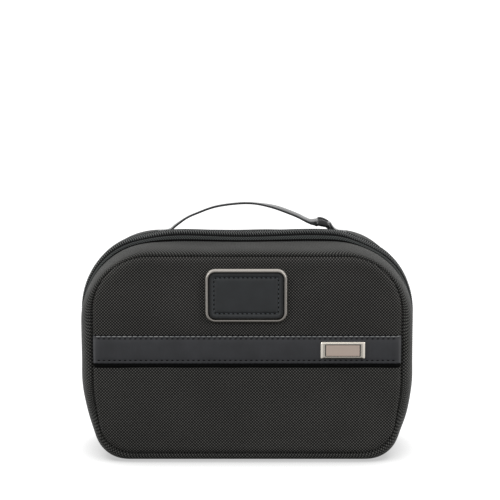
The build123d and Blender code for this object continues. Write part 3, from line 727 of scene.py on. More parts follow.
def swell(obj, half, pins, cap):
    """Blows a pinned sheet up with a short cloth simulation and returns how far each point moved."""
    start = np.array([v.co for v in obj.data.vertices])
    group = obj.vertex_groups.new(name="sewn")
    rim = obj["rim_points"]
    for i in range(len(start)):
        weight = 1.0 if i < rim else float(pins[i])
        if weight > 0.02:
            group.add([i], weight, "REPLACE")
    cloth = obj.modifiers.new("cloth", "CLOTH")
    cloth.settings.vertex_group_mass = "sewn"
    cloth.settings.quality = 4
    cloth.settings.mass = 0.25
    cloth.settings.tension_stiffness = 20.0
    cloth.settings.compression_stiffness = 20.0
    cloth.settings.bending_stiffness = 2.0
    cloth.settings.use_pressure = True
    cloth.settings.uniform_pressure_force = 3.5
    cloth.settings.effector_weights.gravity = 0.0
    cloth.collision_settings.use_collision = False
    scene = bpy.context.scene
    cloth.point_cache.frame_start = 1
    cloth.point_cache.frame_end = SWELL_FRAMES
    for step in range(1, SWELL_FRAMES + 1):
        scene.frame_set(step)
    graph = bpy.context.evaluated_depsgraph_get()
    moved = np.array([v.co for v in obj.evaluated_get(graph).data.vertices])
    obj.modifiers.clear()
    obj.vertex_groups.clear()
    scene.frame_set(1)
    shift = (moved - start)[:, 1] / MM * half.side
    reach = max(float(np.percentile(shift, 98)), 1e-6)
    print(obj.name, "swelled by", round(reach, 2), "mm before the cap")
    return np.clip(shift / reach, 0.0, 1.0) * cap


for half in (FRONT, REAR):
    rows = [ring(half, outline(SEAM, inset), half.seam + rise) for inset, rise in PANEL_RIM]
    panel = capped_shell(half.panel + "_cloth", rows, PANEL_CLOTH, flip=half.side > 0)
    vertices = np.array([v.co for v in panel.data.vertices]) / MM
    pins = panel_pins(vertices, half)
    lift = swell(panel, half, pins, PANEL_CAP)
    lift[:panel["rim_points"]] = 0.0
    faint = dents(vertices, PANEL_SEED + half.side, DENT_DEPTH) * (1 - pins)
    faint[:panel["rim_points"]] = 0.0
    vertices[:, 1] += half.side * (lift + faint)
    panel.data.vertices.foreach_set("co", (vertices * MM).ravel())
    thicken(panel, PANEL_THICKNESS)
    finish_mesh(panel)
    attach(panel, half.body)
    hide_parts(half.panel)
    print(panel.name, len(panel.data.vertices), "points")

# %% [markdown]
# The zip is the line that the bag opens along. Each half carries a woven tape, which rises out of the
# valley beside the gusset, bends over a seam and ends at a row of coil teeth. The teeth lean over one
# another like slanted stitches. They could be a bump on the tape, but then an opened half would show
# a smooth edge. So each tooth is a small rounded bar laid on the tape's own surface.

# %% Zip tapes
VALLEY_INSET = 1.4
TAPE_THICKNESS = 0.6
TAPE_PLACES = (10.6, 9.8, 9.3, 9.0, 8.5, 7.6, 6.7, 6.0, 5.5, 5.1, 4.7, 4.1, 3.0, 1.9, 1.0, 0.0)
# Share of the way from the valley up to the zip line, at each distance from the zip plane
TAPE_RISES = dict(
    front=(-0.14, -0.10, 0.05, 0.20, 0.31, 0.42, 0.52, 0.56, 0.53, 0.49, 0.56, 0.64, 0.745, 0.81, 0.84, 0.84),
    rear=(-0.14, -0.10, 0.0, 0.28, 0.46, 0.71, 0.88, 0.90, 0.86, 0.80, 0.82, 0.84, 0.84, 0.82, 0.80, 0.80),
)
BED_ROW = TAPE_PLACES.index(5.1)
TAPE_FOOT_Z = 1.5
# The slider runs up to this height. Below it the teeth and their bed lie low enough to pass through
SLIDER_REACH = 46.0
SLIDER_FADE = 15.0
SLIDER_SHARE = 1.2
# The bed is not sunk yet at the first of these distances from the zip plane, and fully at the second
SUNK_PLACES = (6.0, 4.7)


def in_slider_run(z):
    """1 where the slider runs and 0 higher up."""
    return smooth(z, SLIDER_REACH + SLIDER_FADE, SLIDER_REACH)


def tape_share(share, distance, z):
    """The share of the way up to the zip line, with the bed sunk where the slider runs."""
    sunk = in_slider_run(z) * smooth(distance, *SUNK_PLACES)
    return between(share, SLIDER_SHARE, sunk)


def chain_lines(half):
    """The valley's outline and the zip's outline, point for point."""
    return outline(half.belly, VALLEY_INSET), outline(ZIP)


TAPE_FIRST = int(np.argmax(outline(ZIP)[:HALF_STEPS, 1] > TAPE_FOOT_Z))
for half in (FRONT, REAR):
    valley, zip_line = chain_lines(half)
    rows = []
    for share, distance in zip(TAPE_RISES[half.name], TAPE_PLACES):
        rise = tape_share(share, distance, zip_line[:, 1:])
        rows.append(ring(half, between(valley, zip_line, rise), distance))
    net = settle(np.array(rows))[:, TAPE_FIRST:LOOP - TAPE_FIRST + 1]
    tape = net_piece(half.name + "_zip_tape_cloth", net[:BED_ROW + 1], TAPE_CLOTH, flip=half.side > 0,
                     thickness=TAPE_THICKNESS)
    # The tape's strip under the teeth is drawn near black, which paints the shade between the teeth
    bed = net_piece(half.name + "_zip_coil_bed", net[BED_ROW:], COIL_BED_SHADE, flip=half.side > 0,
                    thickness=TAPE_THICKNESS)
    for piece in (tape, bed):
        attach(piece, half.body)
    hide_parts(half.name + "_zip_tape")
    print(tape.name, len(tape.data.vertices), "points")

# %% [markdown]
# Black cord lies in each seam: between panel and gusset, in the valley beside the zip and beside the
# teeth. It is painted shade: on the real bag these grooves lie in shade and show as thin black lines.

# %% Seam shade cords
CORD_ANGLES = np.linspace(0, 2 * math.pi, 9)
# The panel's cord lies this far inside the seam's outline and this much nearer to the zip
PANEL_CORD_INSET = 0.5
PANEL_CORD_DEPTH = 0.9
PANEL_CORD_RADIUS = 0.95
# The other two lie at a share of the way from the valley up to the zip line. The one beside the
# teeth lies a little over the tape's groove
VALLEY_CORD_SHARE = 0.3
VALLEY_CORD = dict(distance=8.9, radius=0.85)
COIL_CORD_RISE = 0.015
COIL_CORD = dict(distance=4.95, radius=0.5)


def seam_shade_cord(name, half, line, distance, radius, first=0):
    """A thin black cord, painted shade in a seam's groove, laid along an outline at a distance from the zip
    plane.
    """
    out = outward(line)
    rows = []
    for angle in CORD_ANGLES:
        flat = line + out * math.cos(angle) * radius
        rows.append(ring(half, flat, distance + math.sin(angle) * radius))
    net = settle(np.array(rows))
    if first:
        net = net[:, first:LOOP - first + 1]
    cord = net_piece(name, net, BLACK_THREAD_AND_SHADE, closed=not first, flip=half.side < 0)
    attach(cord, half.body)


for half in (FRONT, REAR):
    valley, zip_line = chain_lines(half)
    seam_shade_cord(half.name + "_panel_seam_cord", half, outline(SEAM, PANEL_CORD_INSET),
              half.seam - PANEL_CORD_DEPTH, PANEL_CORD_RADIUS)
    seam_shade_cord(half.name + "_valley_shade_cord", half, between(valley, zip_line, VALLEY_CORD_SHARE),
              **VALLEY_CORD, first=TAPE_FIRST)
    groove = TAPE_RISES[half.name][BED_ROW] + COIL_CORD_RISE
    above_slider = int(np.argmax(zip_line[:HALF_STEPS, 1] > SLIDER_REACH))
    seam_shade_cord(half.name + "_coil_edge_shade_cord", half, between(valley, zip_line, groove), **COIL_CORD,
              first=above_slider)
print("seam cords laid")

# %% Small rounded bars
# A bar's width along its length, and the places where it is taken, closer together near the ends
BAR_SHAPE = (0.3, 0.82, 1.0, 1.0, 0.82, 0.3)
BAR_PLACES = (1 - np.cos(np.linspace(0, math.pi, len(BAR_SHAPE)))) / 2
BAR_SIDES = 8


def bars(name, spines, beside, width, height, material):
    """Many small rounded bars as one mesh, such as zip teeth or stitches."""
    count, rings = spines.shape[:2]
    run = np.gradient(spines, axis=1)
    run /= np.linalg.norm(run, axis=2, keepdims=True)
    side = np.broadcast_to(beside[:, None], spines.shape)
    rise = np.cross(run, side)
    rise /= np.linalg.norm(rise, axis=2, keepdims=True)
    angle = np.linspace(0, 2 * math.pi, BAR_SIDES, endpoint=False)[:, None]
    size = np.array(BAR_SHAPE)[None, :, None, None]
    wide = np.cos(angle) * side[:, :, None] * width / 2
    high = np.sin(angle) * rise[:, :, None] * height / 2
    vertices = (spines[:, :, None] + (wide + high) * size).reshape(-1, 3)
    faces = []
    for bar in range(count):
        first = bar * rings * BAR_SIDES
        for r in range(rings - 1):
            for k in range(BAR_SIDES):
                n = (k + 1) % BAR_SIDES
                a, b = first + r * BAR_SIDES, first + (r + 1) * BAR_SIDES
                faces.append([a + k, b + k, b + n, a + n])
        last = first + (rings - 1) * BAR_SIDES
        faces.append([first + k for k in range(BAR_SIDES)])
        faces.append([last + k for k in reversed(range(BAR_SIDES))])
    return finish_mesh(link_mesh(name, vertices, faces, material), ROUND_SHARP)


# %% Zip teeth
TOOTH_PITCH = 1.89
TOOTH_WIDTH = 0.85
TOOTH_HEIGHT = 1.5
TOOTH_LEAN = 0.7
# Where a tooth ends, from the zip plane. Its head reaches past the plane, between the other row's
TOOTH_HEAD = -0.3
TOOTH_ROOT = 3.7
TOOTH_RISE = 0.35
# In the slider's run the heads stop short of the plane and lie lower
LOW_TOOTH_HEAD = 0.4
LOW_TOOTH_RISE = -0.15
# The height at which each row begins
REAR_ROW_Z = 10.6
FRONT_ROW_Z = 31.0


def chain_surface(half, runs, distances):
    """Points on the tape's surface at a length along the zip and a distance from its plane."""
    valley, zip_line = chain_lines(half)
    along = lengths_along(zip_line)
    share = np.interp(distances, TAPE_PLACES[::-1], TAPE_RISES[half.name][::-1])
    share = tape_share(share, distances, np.interp(runs, along, zip_line[:, 1]))[..., None]
    low = np.stack([np.interp(runs, along, valley[:, i]) for i in (0, 1)], axis=-1)
    high = np.stack([np.interp(runs, along, zip_line[:, i]) for i in (0, 1)], axis=-1)
    flat = between(low, high, share)
    points = np.stack([flat[..., 0], half.side * distances, flat[..., 1]], axis=-1)
    return settle(points)


def run_at_height(z, left=False):
    """The length along the zip line at which it reaches a height on one side."""
    line = outline(ZIP)
    along = lengths_along(line)
    right = int(np.argmax(line[:HALF_STEPS, 1] > z))
    return along[LOOP - right] if left else along[right]


def teeth(half, start, end, shift):
    """One row of teeth on the tape's surface, from one length along the zip to another."""
    runs = np.arange(start + shift, end, TOOTH_PITCH)
    line = outline(ZIP)
    low = in_slider_run(np.interp(runs, lengths_along(line), line[:, 1]))
    head = between(TOOTH_HEAD, LOW_TOOTH_HEAD, low)[:, None]
    distances = between(head, TOOTH_ROOT, BAR_PLACES)
    lean = TOOTH_LEAN * (0.5 - BAR_PLACES) * 2
    spines = chain_surface(half, runs[:, None] + lean, distances)
    middle = distances[:, 2]
    ahead = chain_surface(half, runs + 0.5, middle) - chain_surface(half, runs - 0.5, middle)
    ahead /= np.linalg.norm(ahead, axis=1, keepdims=True)
    across = spines[:, -1] - spines[:, 0]
    out = np.cross(ahead, across) * half.side
    out /= np.linalg.norm(out, axis=1, keepdims=True)
    out *= np.sign(out[:, 2] * 2 + out[:, 0] * np.sign(spines[:, 0, 0]))[:, None]
    rise = between(TOOTH_RISE, LOW_TOOTH_RISE, in_slider_run(spines[..., 2]))
    spines = spines + out[:, None] * rise[..., None]
    return bars(half.name + "_zip_coil", spines, ahead, TOOTH_WIDTH, TOOTH_HEIGHT, TOOTH_NYLON)


for half, start_z, shift in ((FRONT, FRONT_ROW_Z, 0.0), (REAR, REAR_ROW_Z, TOOTH_PITCH / 2)):
    coil = teeth(half, run_at_height(start_z), run_at_height(REAR_ROW_Z, left=True), shift)
    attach(coil, half.body)
    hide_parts(half.name + "_zip_teeth")
    print(coil.name, len(coil.data.polygons), "faces")

# %% [markdown]
# The band across the front is leather folded over at both edges and sewn down, so its edges are
# rounded and the top one is pinched at every stitch, which catches the light as a row of dashes. It
# is laid over the panel from seam to seam and follows the panel's rolled rim down at both ends.

# %% Leather band
STITCH_PITCH = 4.15
BAND_SECTION = (
    # distance in from the band's upper or lower edge, and rise over the panel
    (0.25, -1.2), (0.0, -0.5), (0.0, 0.35), (0.3, 0.95), (0.9, 1.25), (1.7, 1.2), (2.4, 1.1), (3.2, 1.3),
    (6.0, 1.45),
)
BAND_COLUMNS = 440
# The band's columns stand closer together at its ends, by this share, and its ends go past the seam
END_CROWDING = 0.12
BAND_REACH = 1.2
END_DROP = 2.2
END_DROP_START = 0.4
# How deep each stitch pinches the upper edge, the lower edge and the face between
PINCH_DEPTHS = dict(upper=0.34, lower=0.12, face=0.05)
PINCH_REACH = 1.3


def seam_half_width(z):
    """Half the panel's width at a height."""
    line = outline(SEAM)[:HALF_STEPS]
    side = line[STEPS[0]:HALF_STEPS - STEPS[6]]
    return np.interp(z, side[:, 1], side[:, 0])


def panel_front(x, z, rise=0.0):
    """A point on the front panel's face, or above it, with its rolled rim at both sides."""
    insets = np.array([inset for inset, _ in PANEL_RIM[2:]])
    heights = np.array([height for _, height in PANEL_RIM[2:]])
    inset = seam_half_width(z) - np.abs(x)
    height = np.interp(inset, insets, heights)
    return np.stack([x, -(FRONT.seam + height + rise), z], axis=-1)


band_low, band_high = BAND_BOX
band_rows = [(band_low[2] + up, rise, 1) for up, rise in BAND_SECTION]
band_rows += [(band_high[2] - down, rise, -1) for down, rise in BAND_SECTION[::-1]]
net = []
for z, rise, side in band_rows:
    half_width = seam_half_width(z)
    reach = half_width + BAND_REACH
    turn = np.linspace(-1, 1, BAND_COLUMNS)
    x = reach * np.sin(turn * math.pi / 2) * END_CROWDING + reach * turn * (1 - END_CROWDING)
    edge, edge_z = ("upper", band_high[2]) if side < 0 else ("lower", band_low[2])
    depth = PINCH_DEPTHS[edge if abs(z - edge_z) < PINCH_REACH else "face"]
    pinch = np.cos(2 * math.pi * x / STITCH_PITCH)
    points = panel_front(np.clip(x, 0.01 - half_width, half_width - 0.01), np.full_like(x, z),
                         rise + depth * pinch)
    points[:, 0] = x
    points[:, 1] += np.maximum(np.abs(x) - half_width + END_DROP_START, 0.0) * END_DROP
    net.append(points)
band = net_piece("leather_band_skin", np.array(net), BAND_LEATHER)
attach(band, "front_half")
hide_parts("leather_band")


# A stitch is a little flatter than it is wide
STITCH_FLATNESS = 0.8
OUT = (0.0, -1.0, 0.0)
UP = (0.0, 0.0, 1.0)


def stitch_row(name, starts, ends, facing, material, thick):
    """A row of stitches on the front half, each a rounded bar that lies along the leather."""
    spines = starts[:, None] + (ends - starts)[:, None] * BAR_PLACES[None, :, None]
    across = np.cross(ends - starts, np.broadcast_to(np.array(facing), starts.shape))
    across /= np.linalg.norm(across, axis=1, keepdims=True)
    row = bars(name, spines, across, thick, thick * STITCH_FLATNESS, material)
    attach(row, "front_half")


BAND_LINES = (
    # name, height, rise over the panel, length, thickness, margin at both ends, way it faces, material
    ("band_top_stitches", band_high[2] - 2.2, 1.12, 1.9, 0.85, 4.0, OUT, BLACK_THREAD_AND_SHADE),
    ("band_foot_stitches", band_low[2] + 3.0, 1.22, 1.9, 0.85, 4.0, OUT, BLACK_THREAD_AND_SHADE),
    # The edge folds are drawn in light grey, a painted highlight
    ("band_edge_folds", band_high[2] - 0.35, 0.95, 3.3, 0.95, 3.0, UP, EDGE_HIGHLIGHT_LEATHER),
)
for name, z, rise, long, thick, margin, facing, material in BAND_LINES:
    reach = seam_half_width(z) - margin
    x = np.arange(-reach, reach, STITCH_PITCH)
    heights = np.full_like(x, z)
    stitch_row(name, panel_front(x, heights, rise), panel_front(x + long, heights, rise), facing,
               material, thick)
# Two black cords paint the shadow under the band's lower edge and the thin shade over its top edge
BAND_CORDS = (
    # name, middle height, reach out of the panel and half the height
    ("band_foot_shadow_cord", band_low[2] - 1.5, 0.9, 1.8),
    ("band_top_shadow_cord", band_high[2] + 0.3, 0.4, 0.4),
)
CORD_GAP = 0.05
CORD_COLUMNS = 160
for name, z, out, tall in BAND_CORDS:
    reach = seam_half_width(z) - CORD_GAP
    x = np.linspace(-reach, reach, CORD_COLUMNS)
    path = panel_front(x, np.full_like(x, z), CORD_GAP)
    rows = [path + np.array((0.0, -math.cos(angle) * out, math.sin(angle) * tall)) for angle in CORD_ANGLES]
    cord = net_piece(name, np.array(rows), BLACK_THREAD_AND_SHADE, flip=True)
    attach(cord, "front_half")
print("band", len(band.data.vertices), "points")

# %% [markdown]
# The patch is a padded piece of smooth leather with a line of stitches along all four sides, held to
# the bag by a cast frame. The frame's bars are rounded outside and step down to the leather, and its
# prongs go through cloth and foam to a plate inside. The leather has a soft crease inside the stitches.

# %% Patch and frame
def rounded_box(low, high, corner, steps=8):
    """A closed rounded rectangle as x and z, from its lower right corner up the right side."""
    corners = [(high[0], low[1]), (high[0], high[1]), (low[0], high[1]), (low[0], low[1])]
    points = []
    for i, (x, z) in enumerate(corners):
        centre = (x - math.copysign(corner, x - (low[0] + high[0]) / 2),
                  z - math.copysign(corner, z - (low[1] + high[1]) / 2))
        start = -math.pi / 2 + i * math.pi / 2
        for k in range(steps + 1):
            angle = start + k / steps * math.pi / 2
            points.append((centre[0] + corner * math.cos(angle), centre[1] + corner * math.sin(angle)))
    return np.array(points)


def even_loop(points, count):
    """The same closed line with evenly spaced points."""
    closed = np.vstack([points, points[:1]])
    along = lengths_along(closed)
    places = np.linspace(0, along[-1], count, endpoint=False)
    return np.stack([np.interp(places, along, closed[:, i]) for i in (0, 1)], axis=-1)


def stand(flat, y):
    """A line of x and z as points that all have one place in y."""
    return np.column_stack([flat[:, 0], np.full(len(flat), y), flat[:, 1]])


def inset_box(box, inset, corner, steps=8):
    """A rounded rectangle drawn some way inside a box, as seen from the front."""
    low, high = box
    return rounded_box((low[0] + inset, low[2] + inset), (high[0] - inset, high[2] - inset),
                       max(corner - inset, 0.4), steps)


def box_loops(box, profile, corner):
    """Loops that follow a rounded rectangle. The profile holds insets and places in y."""
    return [stand(inset_box(box, inset, corner, 12), y) for inset, y in profile]


# How far each loop that closes a face has shrunk to the face's middle
FAN_SHARES = (0.3, 0.6, 0.85, 0.995)


def filled(loops):
    """The same loops, with the middle closed by smaller and smaller ones."""
    edge = loops[-1]
    middle = edge.mean(axis=0)
    return loops + [between(edge, middle, share) for share in FAN_SHARES]


# How far the patch's lower and upper edges hang below their places in the frame's solids
PATCH_SETTLES = np.array(((0.0, 0.0, -2.1), (0.0, 0.0, -0.7)))
CAST_BOX = np.array(FRAME_BOX) + PATCH_SETTLES
PATCH_BOX = np.array(frame_mm("leather_patch")) + PATCH_SETTLES
METAL_SHARP = 28.0
FRAME_CORNER = 8.5
FRAME_FOOT_Y = -(FRONT.seam + PILLOW)
FRAME_TOP_Y = CAST_BOX[0][1]
FRAME_FOOT = ((0.15, FRAME_FOOT_Y + 0.4), (0.0, FRAME_FOOT_Y - 0.5))
FRAME_FACE = (
    # inset from the frame's outer edge, depth behind its highest line
    (0.0, 1.75), (0.12, 1.5), (1.15, 0.35), (1.35, 0.16), (1.6, 0.05), (1.95, 0.0), (2.35, 0.03),
    (2.6, 0.14), (2.75, 0.36), (2.85, 0.8), (3.0, 1.6), (3.1, 2.2),
)
frame_profile = [*FRAME_FOOT, *((inset, FRAME_TOP_Y + depth) for inset, depth in FRAME_FACE),
                 (3.1, FRAME_FOOT_Y - 0.2)]
rim = net_piece("patch_frame_cast", np.array(box_loops(CAST_BOX, frame_profile, FRAME_CORNER)),
                FRAME_METAL, closed=True, sharp=METAL_SHARP)
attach(rim, "front_half")
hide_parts("patch_frame")

PATCH_CORNER = FRAME_CORNER - 3.2
PATCH_TOP_Y = PATCH_BOX[0][1]
PATCH_FACE = (
    # inset from the patch's edge, depth behind its highest place, with a groove for the stitches
    (0.0, 1.4), (0.0, 1.1), (0.25, 0.72), (0.8, 0.45), (1.8, 0.32), (2.7, 0.34), (3.1, 0.55), (3.5, 0.78),
    (4.1, 0.82), (4.8, 0.78), (5.2, 0.5), (5.5, 0.24), (6.0, 0.14), (8.0, 0.08),
)
patch_profile = [(inset, PATCH_TOP_Y + depth) for inset, depth in PATCH_FACE]
patch = net_piece("leather_patch_skin", np.array(filled(box_loops(PATCH_BOX, patch_profile, PATCH_CORNER))),
                  PATCH_LEATHER, closed=True)
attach(patch, "front_half")
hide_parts("leather_patch")

PATCH_STITCH_INSET = 4.15
PATCH_STITCH_PITCH = 3.6
PATCH_STITCH_LEAN = 0.22
PATCH_STITCH_DEPTH = 0.66
PATCH_STITCH_THICK = 0.45
HOLE_SHARE = 0.3
HOLE_DEPTH = 0.74
HOLE_THICK = 0.85
stitch_line = inset_box(PATCH_BOX, PATCH_STITCH_INSET, PATCH_CORNER + 1.0)
stitches = round(lengths_along(np.vstack([stitch_line, stitch_line[:1]]))[-1] / PATCH_STITCH_PITCH)
# A stitch covers half of its pitch and lies a little across the line. In the other half a black bar paints
# the shade in the stitch hole
starts = even_loop(stitch_line, stitches)
quarters = even_loop(stitch_line, stitches * 4)
ends = np.roll(quarters, -2, axis=0)[::4]
lean = np.roll(quarters, -1, axis=0)[::4] - starts
lean = np.column_stack([-lean[:, 1], lean[:, 0]]) * PATCH_STITCH_LEAN
stitch_y = PATCH_TOP_Y + PATCH_STITCH_DEPTH
stitch_row("patch_stitches", stand(starts + lean, stitch_y), stand(ends - lean, stitch_y), OUT,
           PATCH_THREAD, PATCH_STITCH_THICK)
next_starts = np.roll(starts, -1, axis=0)
middles = (ends + next_starts) / 2
hole_reach = (next_starts - ends) * HOLE_SHARE
hole_y = PATCH_TOP_Y + HOLE_DEPTH
stitch_row("patch_stitch_hole_shade", stand(middles - hole_reach, hole_y), stand(middles + hole_reach, hole_y),
           OUT, BLACK_THREAD_AND_SHADE, HOLE_THICK)
print("patch stitches", stitches)

# %% [markdown]
# The small plate on the band is a cast block with bevelled edges, a polished rim and a sunk, etched
# field. The field is bare.

# %% Name plate
PLATE_BOX = frame_mm("name_plate")
PLATE_TOP_Y = PLATE_BOX[0][1]
PLATE_CORNER = 1.1
FIELD_INSET = 1.9
FIELD_SIDE_INSET = 3.5
PLATE_FACE = (
    # inset from the plate's edge, depth behind its highest place
    (0.0, 2.4), (0.0, 1.0), (0.15, 0.82), (1.0, 0.08), (1.15, 0.0), (FIELD_INSET - 0.2, 0.0),
    (FIELD_INSET - 0.05, 0.1), (FIELD_INSET, 1.4),
)
FIELD_FACE = (
    # the field begins behind an open groove inside the rim
    (FIELD_INSET + 0.42, 1.4), (FIELD_INSET + 0.42, 0.4), (FIELD_INSET + 0.52, 0.29),
    (FIELD_INSET + 0.8, 0.28),
)


def plate_loops(face):
    """Loops whose inset grows faster at the plate's two ends than along its long sides."""
    low, high = PLATE_BOX
    net = []
    for inset, depth in face:
        side = inset * FIELD_SIDE_INSET / FIELD_INSET
        loop = rounded_box((low[0] + side, low[2] + inset), (high[0] - side, high[2] - inset),
                           max(PLATE_CORNER - inset, 0.3), 5)
        net.append(stand(loop, PLATE_TOP_Y + depth))
    return net


plate = net_piece("name_plate_rim", np.array(plate_loops(PLATE_FACE)), PLATE_METAL, closed=True,
                  sharp=METAL_SHARP)
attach(plate, "front_half")
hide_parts("name_plate")

field = net_piece("name_plate_field", np.array(filled(plate_loops(FIELD_FACE))), INLAY_METAL, closed=True,
                  sharp=METAL_SHARP)
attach(field, "front_half")
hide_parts("name_plate_inlay")
print("plate", len(plate.data.vertices), "points, field", len(field.data.vertices))

# %% [markdown]
# The handle is one leather strap. It is sewn to the rear gusset at the left, arches along the top
# behind the zip and folds round a small closed ring at the right, and a short tab holds the ring to
# the bag. Bending a flat box would leave kinks, so a rounded section is carried along a smooth curve.
# At the sewn ends the leather bends instead of turning on a pin.

# %% Handle helpers
HANDLE_Y = float(sum(corner[1] for corner in frame_mm("handle_strap")) / 2)
STRAP_THICK = 1.7
STRAP_CORNER = 0.7


def smooth_curve(points, steps):
    """A smooth line through given points."""
    points = np.asarray(points, float)
    padded = np.vstack([2 * points[0] - points[1], points, 2 * points[-1] - points[-2]])
    out = []
    for i in range(1, len(padded) - 2):
        p0, p1, p2, p3 = padded[i - 1:i + 3]
        for t in np.linspace(0, 1, steps, endpoint=False):
            out.append(0.5 * (2 * p1 + (p2 - p0) * t + (2 * p0 - 5 * p1 + 4 * p2 - p3) * t * t
                              + (3 * p1 - p0 - 3 * p2 + p3) * t ** 3))
    out.append(points[-1])
    return np.array(out)


def flat_section(width):
    """The strap's flat section with rounded edges, as sideways and upward places."""
    return rounded_box((-width / 2, -STRAP_THICK / 2), (width / 2, STRAP_THICK / 2), STRAP_CORNER, 3)


def swept(name, path, side, up, sections, material, closed=False):
    """A section carried along a path. The section can change from point to point."""
    sections = np.broadcast_to(sections, (len(path),) + np.shape(sections)[-2:])
    net = path[:, None] + side[:, None] * sections[..., :1] + up[:, None] * sections[..., 1:]
    if closed:
        net = np.concatenate([net, net[:1]])
    else:
        first = between(net[:1], net[:1].mean(axis=1, keepdims=True), 0.98)
        last = between(net[-1:], net[-1:].mean(axis=1, keepdims=True), 0.98)
        net = np.concatenate([first, net, last])
    return net_piece(name, net, material, closed=True, sharp=ROUND_SHARP)


def strap_frame(path, rolls):
    """Sideways and upward directions along a flat path, rolled by an angle at each point."""
    run = np.gradient(path, axis=0)
    run /= np.linalg.norm(run, axis=1, keepdims=True)
    across = np.broadcast_to(np.array((0.0, 1.0, 0.0)), path.shape)
    up = np.cross(run, across)
    up /= np.linalg.norm(up, axis=1, keepdims=True)
    turn = np.radians(rolls)[:, None]
    return across * np.cos(turn) + up * np.sin(turn), up * np.cos(turn) - across * np.sin(turn)


def loop_round(centre, radius, start_degrees, end_degrees):
    """The strap's middle line where it turns round a bar of the ring, as x and z."""
    angles = np.radians(np.linspace(start_degrees, end_degrees, 12))
    return np.column_stack([centre[0] + radius * np.cos(angles), centre[1] + radius * np.sin(angles)])


# %% Handle strap
# The ring's middle as x and z, its slope in degrees and how far its bars stand from its middle
RING_CENTRE = np.array((61.5, 181.8))
RING_TILT = 11.0
RING_REACH = 5.2
BAR_RADIUS = 1.25
STRAP_WIDE = 10.3
# The strap is twisted a little, one way at its left and the other way at its right, in degrees,
# and along x where each twist sets in and is full
LEFT_ROLL = -6.5
LEFT_ROLL_STARTS = ((19.0, 5.0), (-62.0, -46.0))
RIGHT_ROLL = 6.0
RIGHT_ROLL_START = (14.0, 30.0)
tilt = np.array((math.cos(math.radians(RING_TILT)), -math.sin(math.radians(RING_TILT))))
left_bar = RING_CENTRE - tilt * RING_REACH
right_bar = RING_CENTRE + tilt * RING_REACH
# The leather is squeezed where it goes round a bar
SQUEEZE = 0.2
LOOP_RADIUS = BAR_RADIUS + STRAP_THICK / 2 - SQUEEZE

STRAP_ROUTE = (
    # x and z of the strap's middle line, from its sewn left end to the ring
    (-72.5, 175.6), (-67.0, 175.8), (-62.5, 177.2), (-58.2, 180.8), (-50.0, 186.5), (-42.0, 190.3),
    (-26.0, 196.1), (-7.0, 198.8), (7.0, 198.6), (22.4, 195.7), (38.6, 189.8), (46.4, 186.0),
)
top_ply = smooth_curve(STRAP_ROUTE, 8)
round_bar = loop_round(left_bar, LOOP_RADIUS, 72.0, -138.0)
under_ply = smooth_curve([round_bar[-1], (52.2, 182.2), (49.8, 183.2), (46.8, 184.6)], 5)
join = smooth_curve([top_ply[-1], (51.5, 184.0), round_bar[0]], 5)
path = stand(np.vstack([top_ply[:-1], join[:-1], round_bar[:-1], under_ply]), HANDLE_Y)
inner_start, outer_start = LEFT_ROLL_STARTS
roll = LEFT_ROLL * smooth(path[:, 0], *inner_start) * smooth(path[:, 0], *outer_start)
roll += RIGHT_ROLL * smooth(path[:, 0], *RIGHT_ROLL_START)
side, up = strap_frame(path, roll)
strap = swept("handle_strap_leather", path, side, up, flat_section(STRAP_WIDE), HANDLE_LEATHER)
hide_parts("handle_strap", "handle_left_end")
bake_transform(strap)
print("strap", len(strap.data.vertices), "points")

# %% Handle ring
RING_CLEARANCE = 0.3
RING_WALL = 1.3
RING_HALF_LONG = STRAP_WIDE / 2 + RING_CLEARANCE + RING_WALL
RING_CORNER = 2.2
# The ring's two ends are this much taller than its bars, and more so towards the strap
END_CAP = 3.0
CAP_LEAN = 0.3
CAP_HALF_WIDTH = 6.2
# Before its far edge, where an end begins and where it is full, and how much wider it is than a bar
END_BEGINS = 2.4
END_FULL = 0.4
END_WIDENING = 0.1
ring_box = rounded_box((-RING_REACH, -RING_HALF_LONG), (RING_REACH, RING_HALF_LONG), RING_CORNER)
ring_flat = even_loop(ring_box, 96)


def in_ring_plane(points):
    """Turns places or directions along the ring's slope and across it into x, y and z."""
    return np.column_stack([points[:, 0] * tilt[0], points[:, 1], points[:, 0] * tilt[1]])


# 1 on the ring's two ends and 0 on its bars
end_bar = smooth(np.abs(ring_flat[:, 1]), RING_HALF_LONG - END_BEGINS, RING_HALF_LONG - END_FULL)
angle = np.linspace(0, 2 * math.pi, 14, endpoint=False)
circle = np.column_stack([np.cos(angle), np.sin(angle)])
half_wide = BAR_RADIUS + END_WIDENING * end_bar
roundness = np.sqrt(np.clip(1 - (ring_flat[:, 0] / CAP_HALF_WIDTH) ** 2, 0.0, 1.0))
cap = END_CAP * (1.0 - CAP_LEAN * ring_flat[:, 0] / RING_REACH)
half_high = BAR_RADIUS + cap * end_bar * roundness
sections = circle[None] * np.column_stack([half_wide, half_high])[:, None]
# The lower side keeps the bar's own roundness, so the ends only grow upwards
sections[..., 1] = np.maximum(sections[..., 1], circle[None, :, 1] * BAR_RADIUS)
ring_up = np.broadcast_to(np.array((-tilt[1], 0.0, tilt[0])), (len(ring_flat), 3))
ring_path = in_ring_plane(ring_flat) + (RING_CENTRE[0], HANDLE_Y, RING_CENTRE[1])
keeper = swept("handle_ring_keeper", ring_path, in_ring_plane(outward(ring_flat)), ring_up, sections,
               RING_LEATHER, closed=True)
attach(keeper, "handle")
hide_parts("handle_ring")
print("ring", len(keeper.data.vertices), "points")

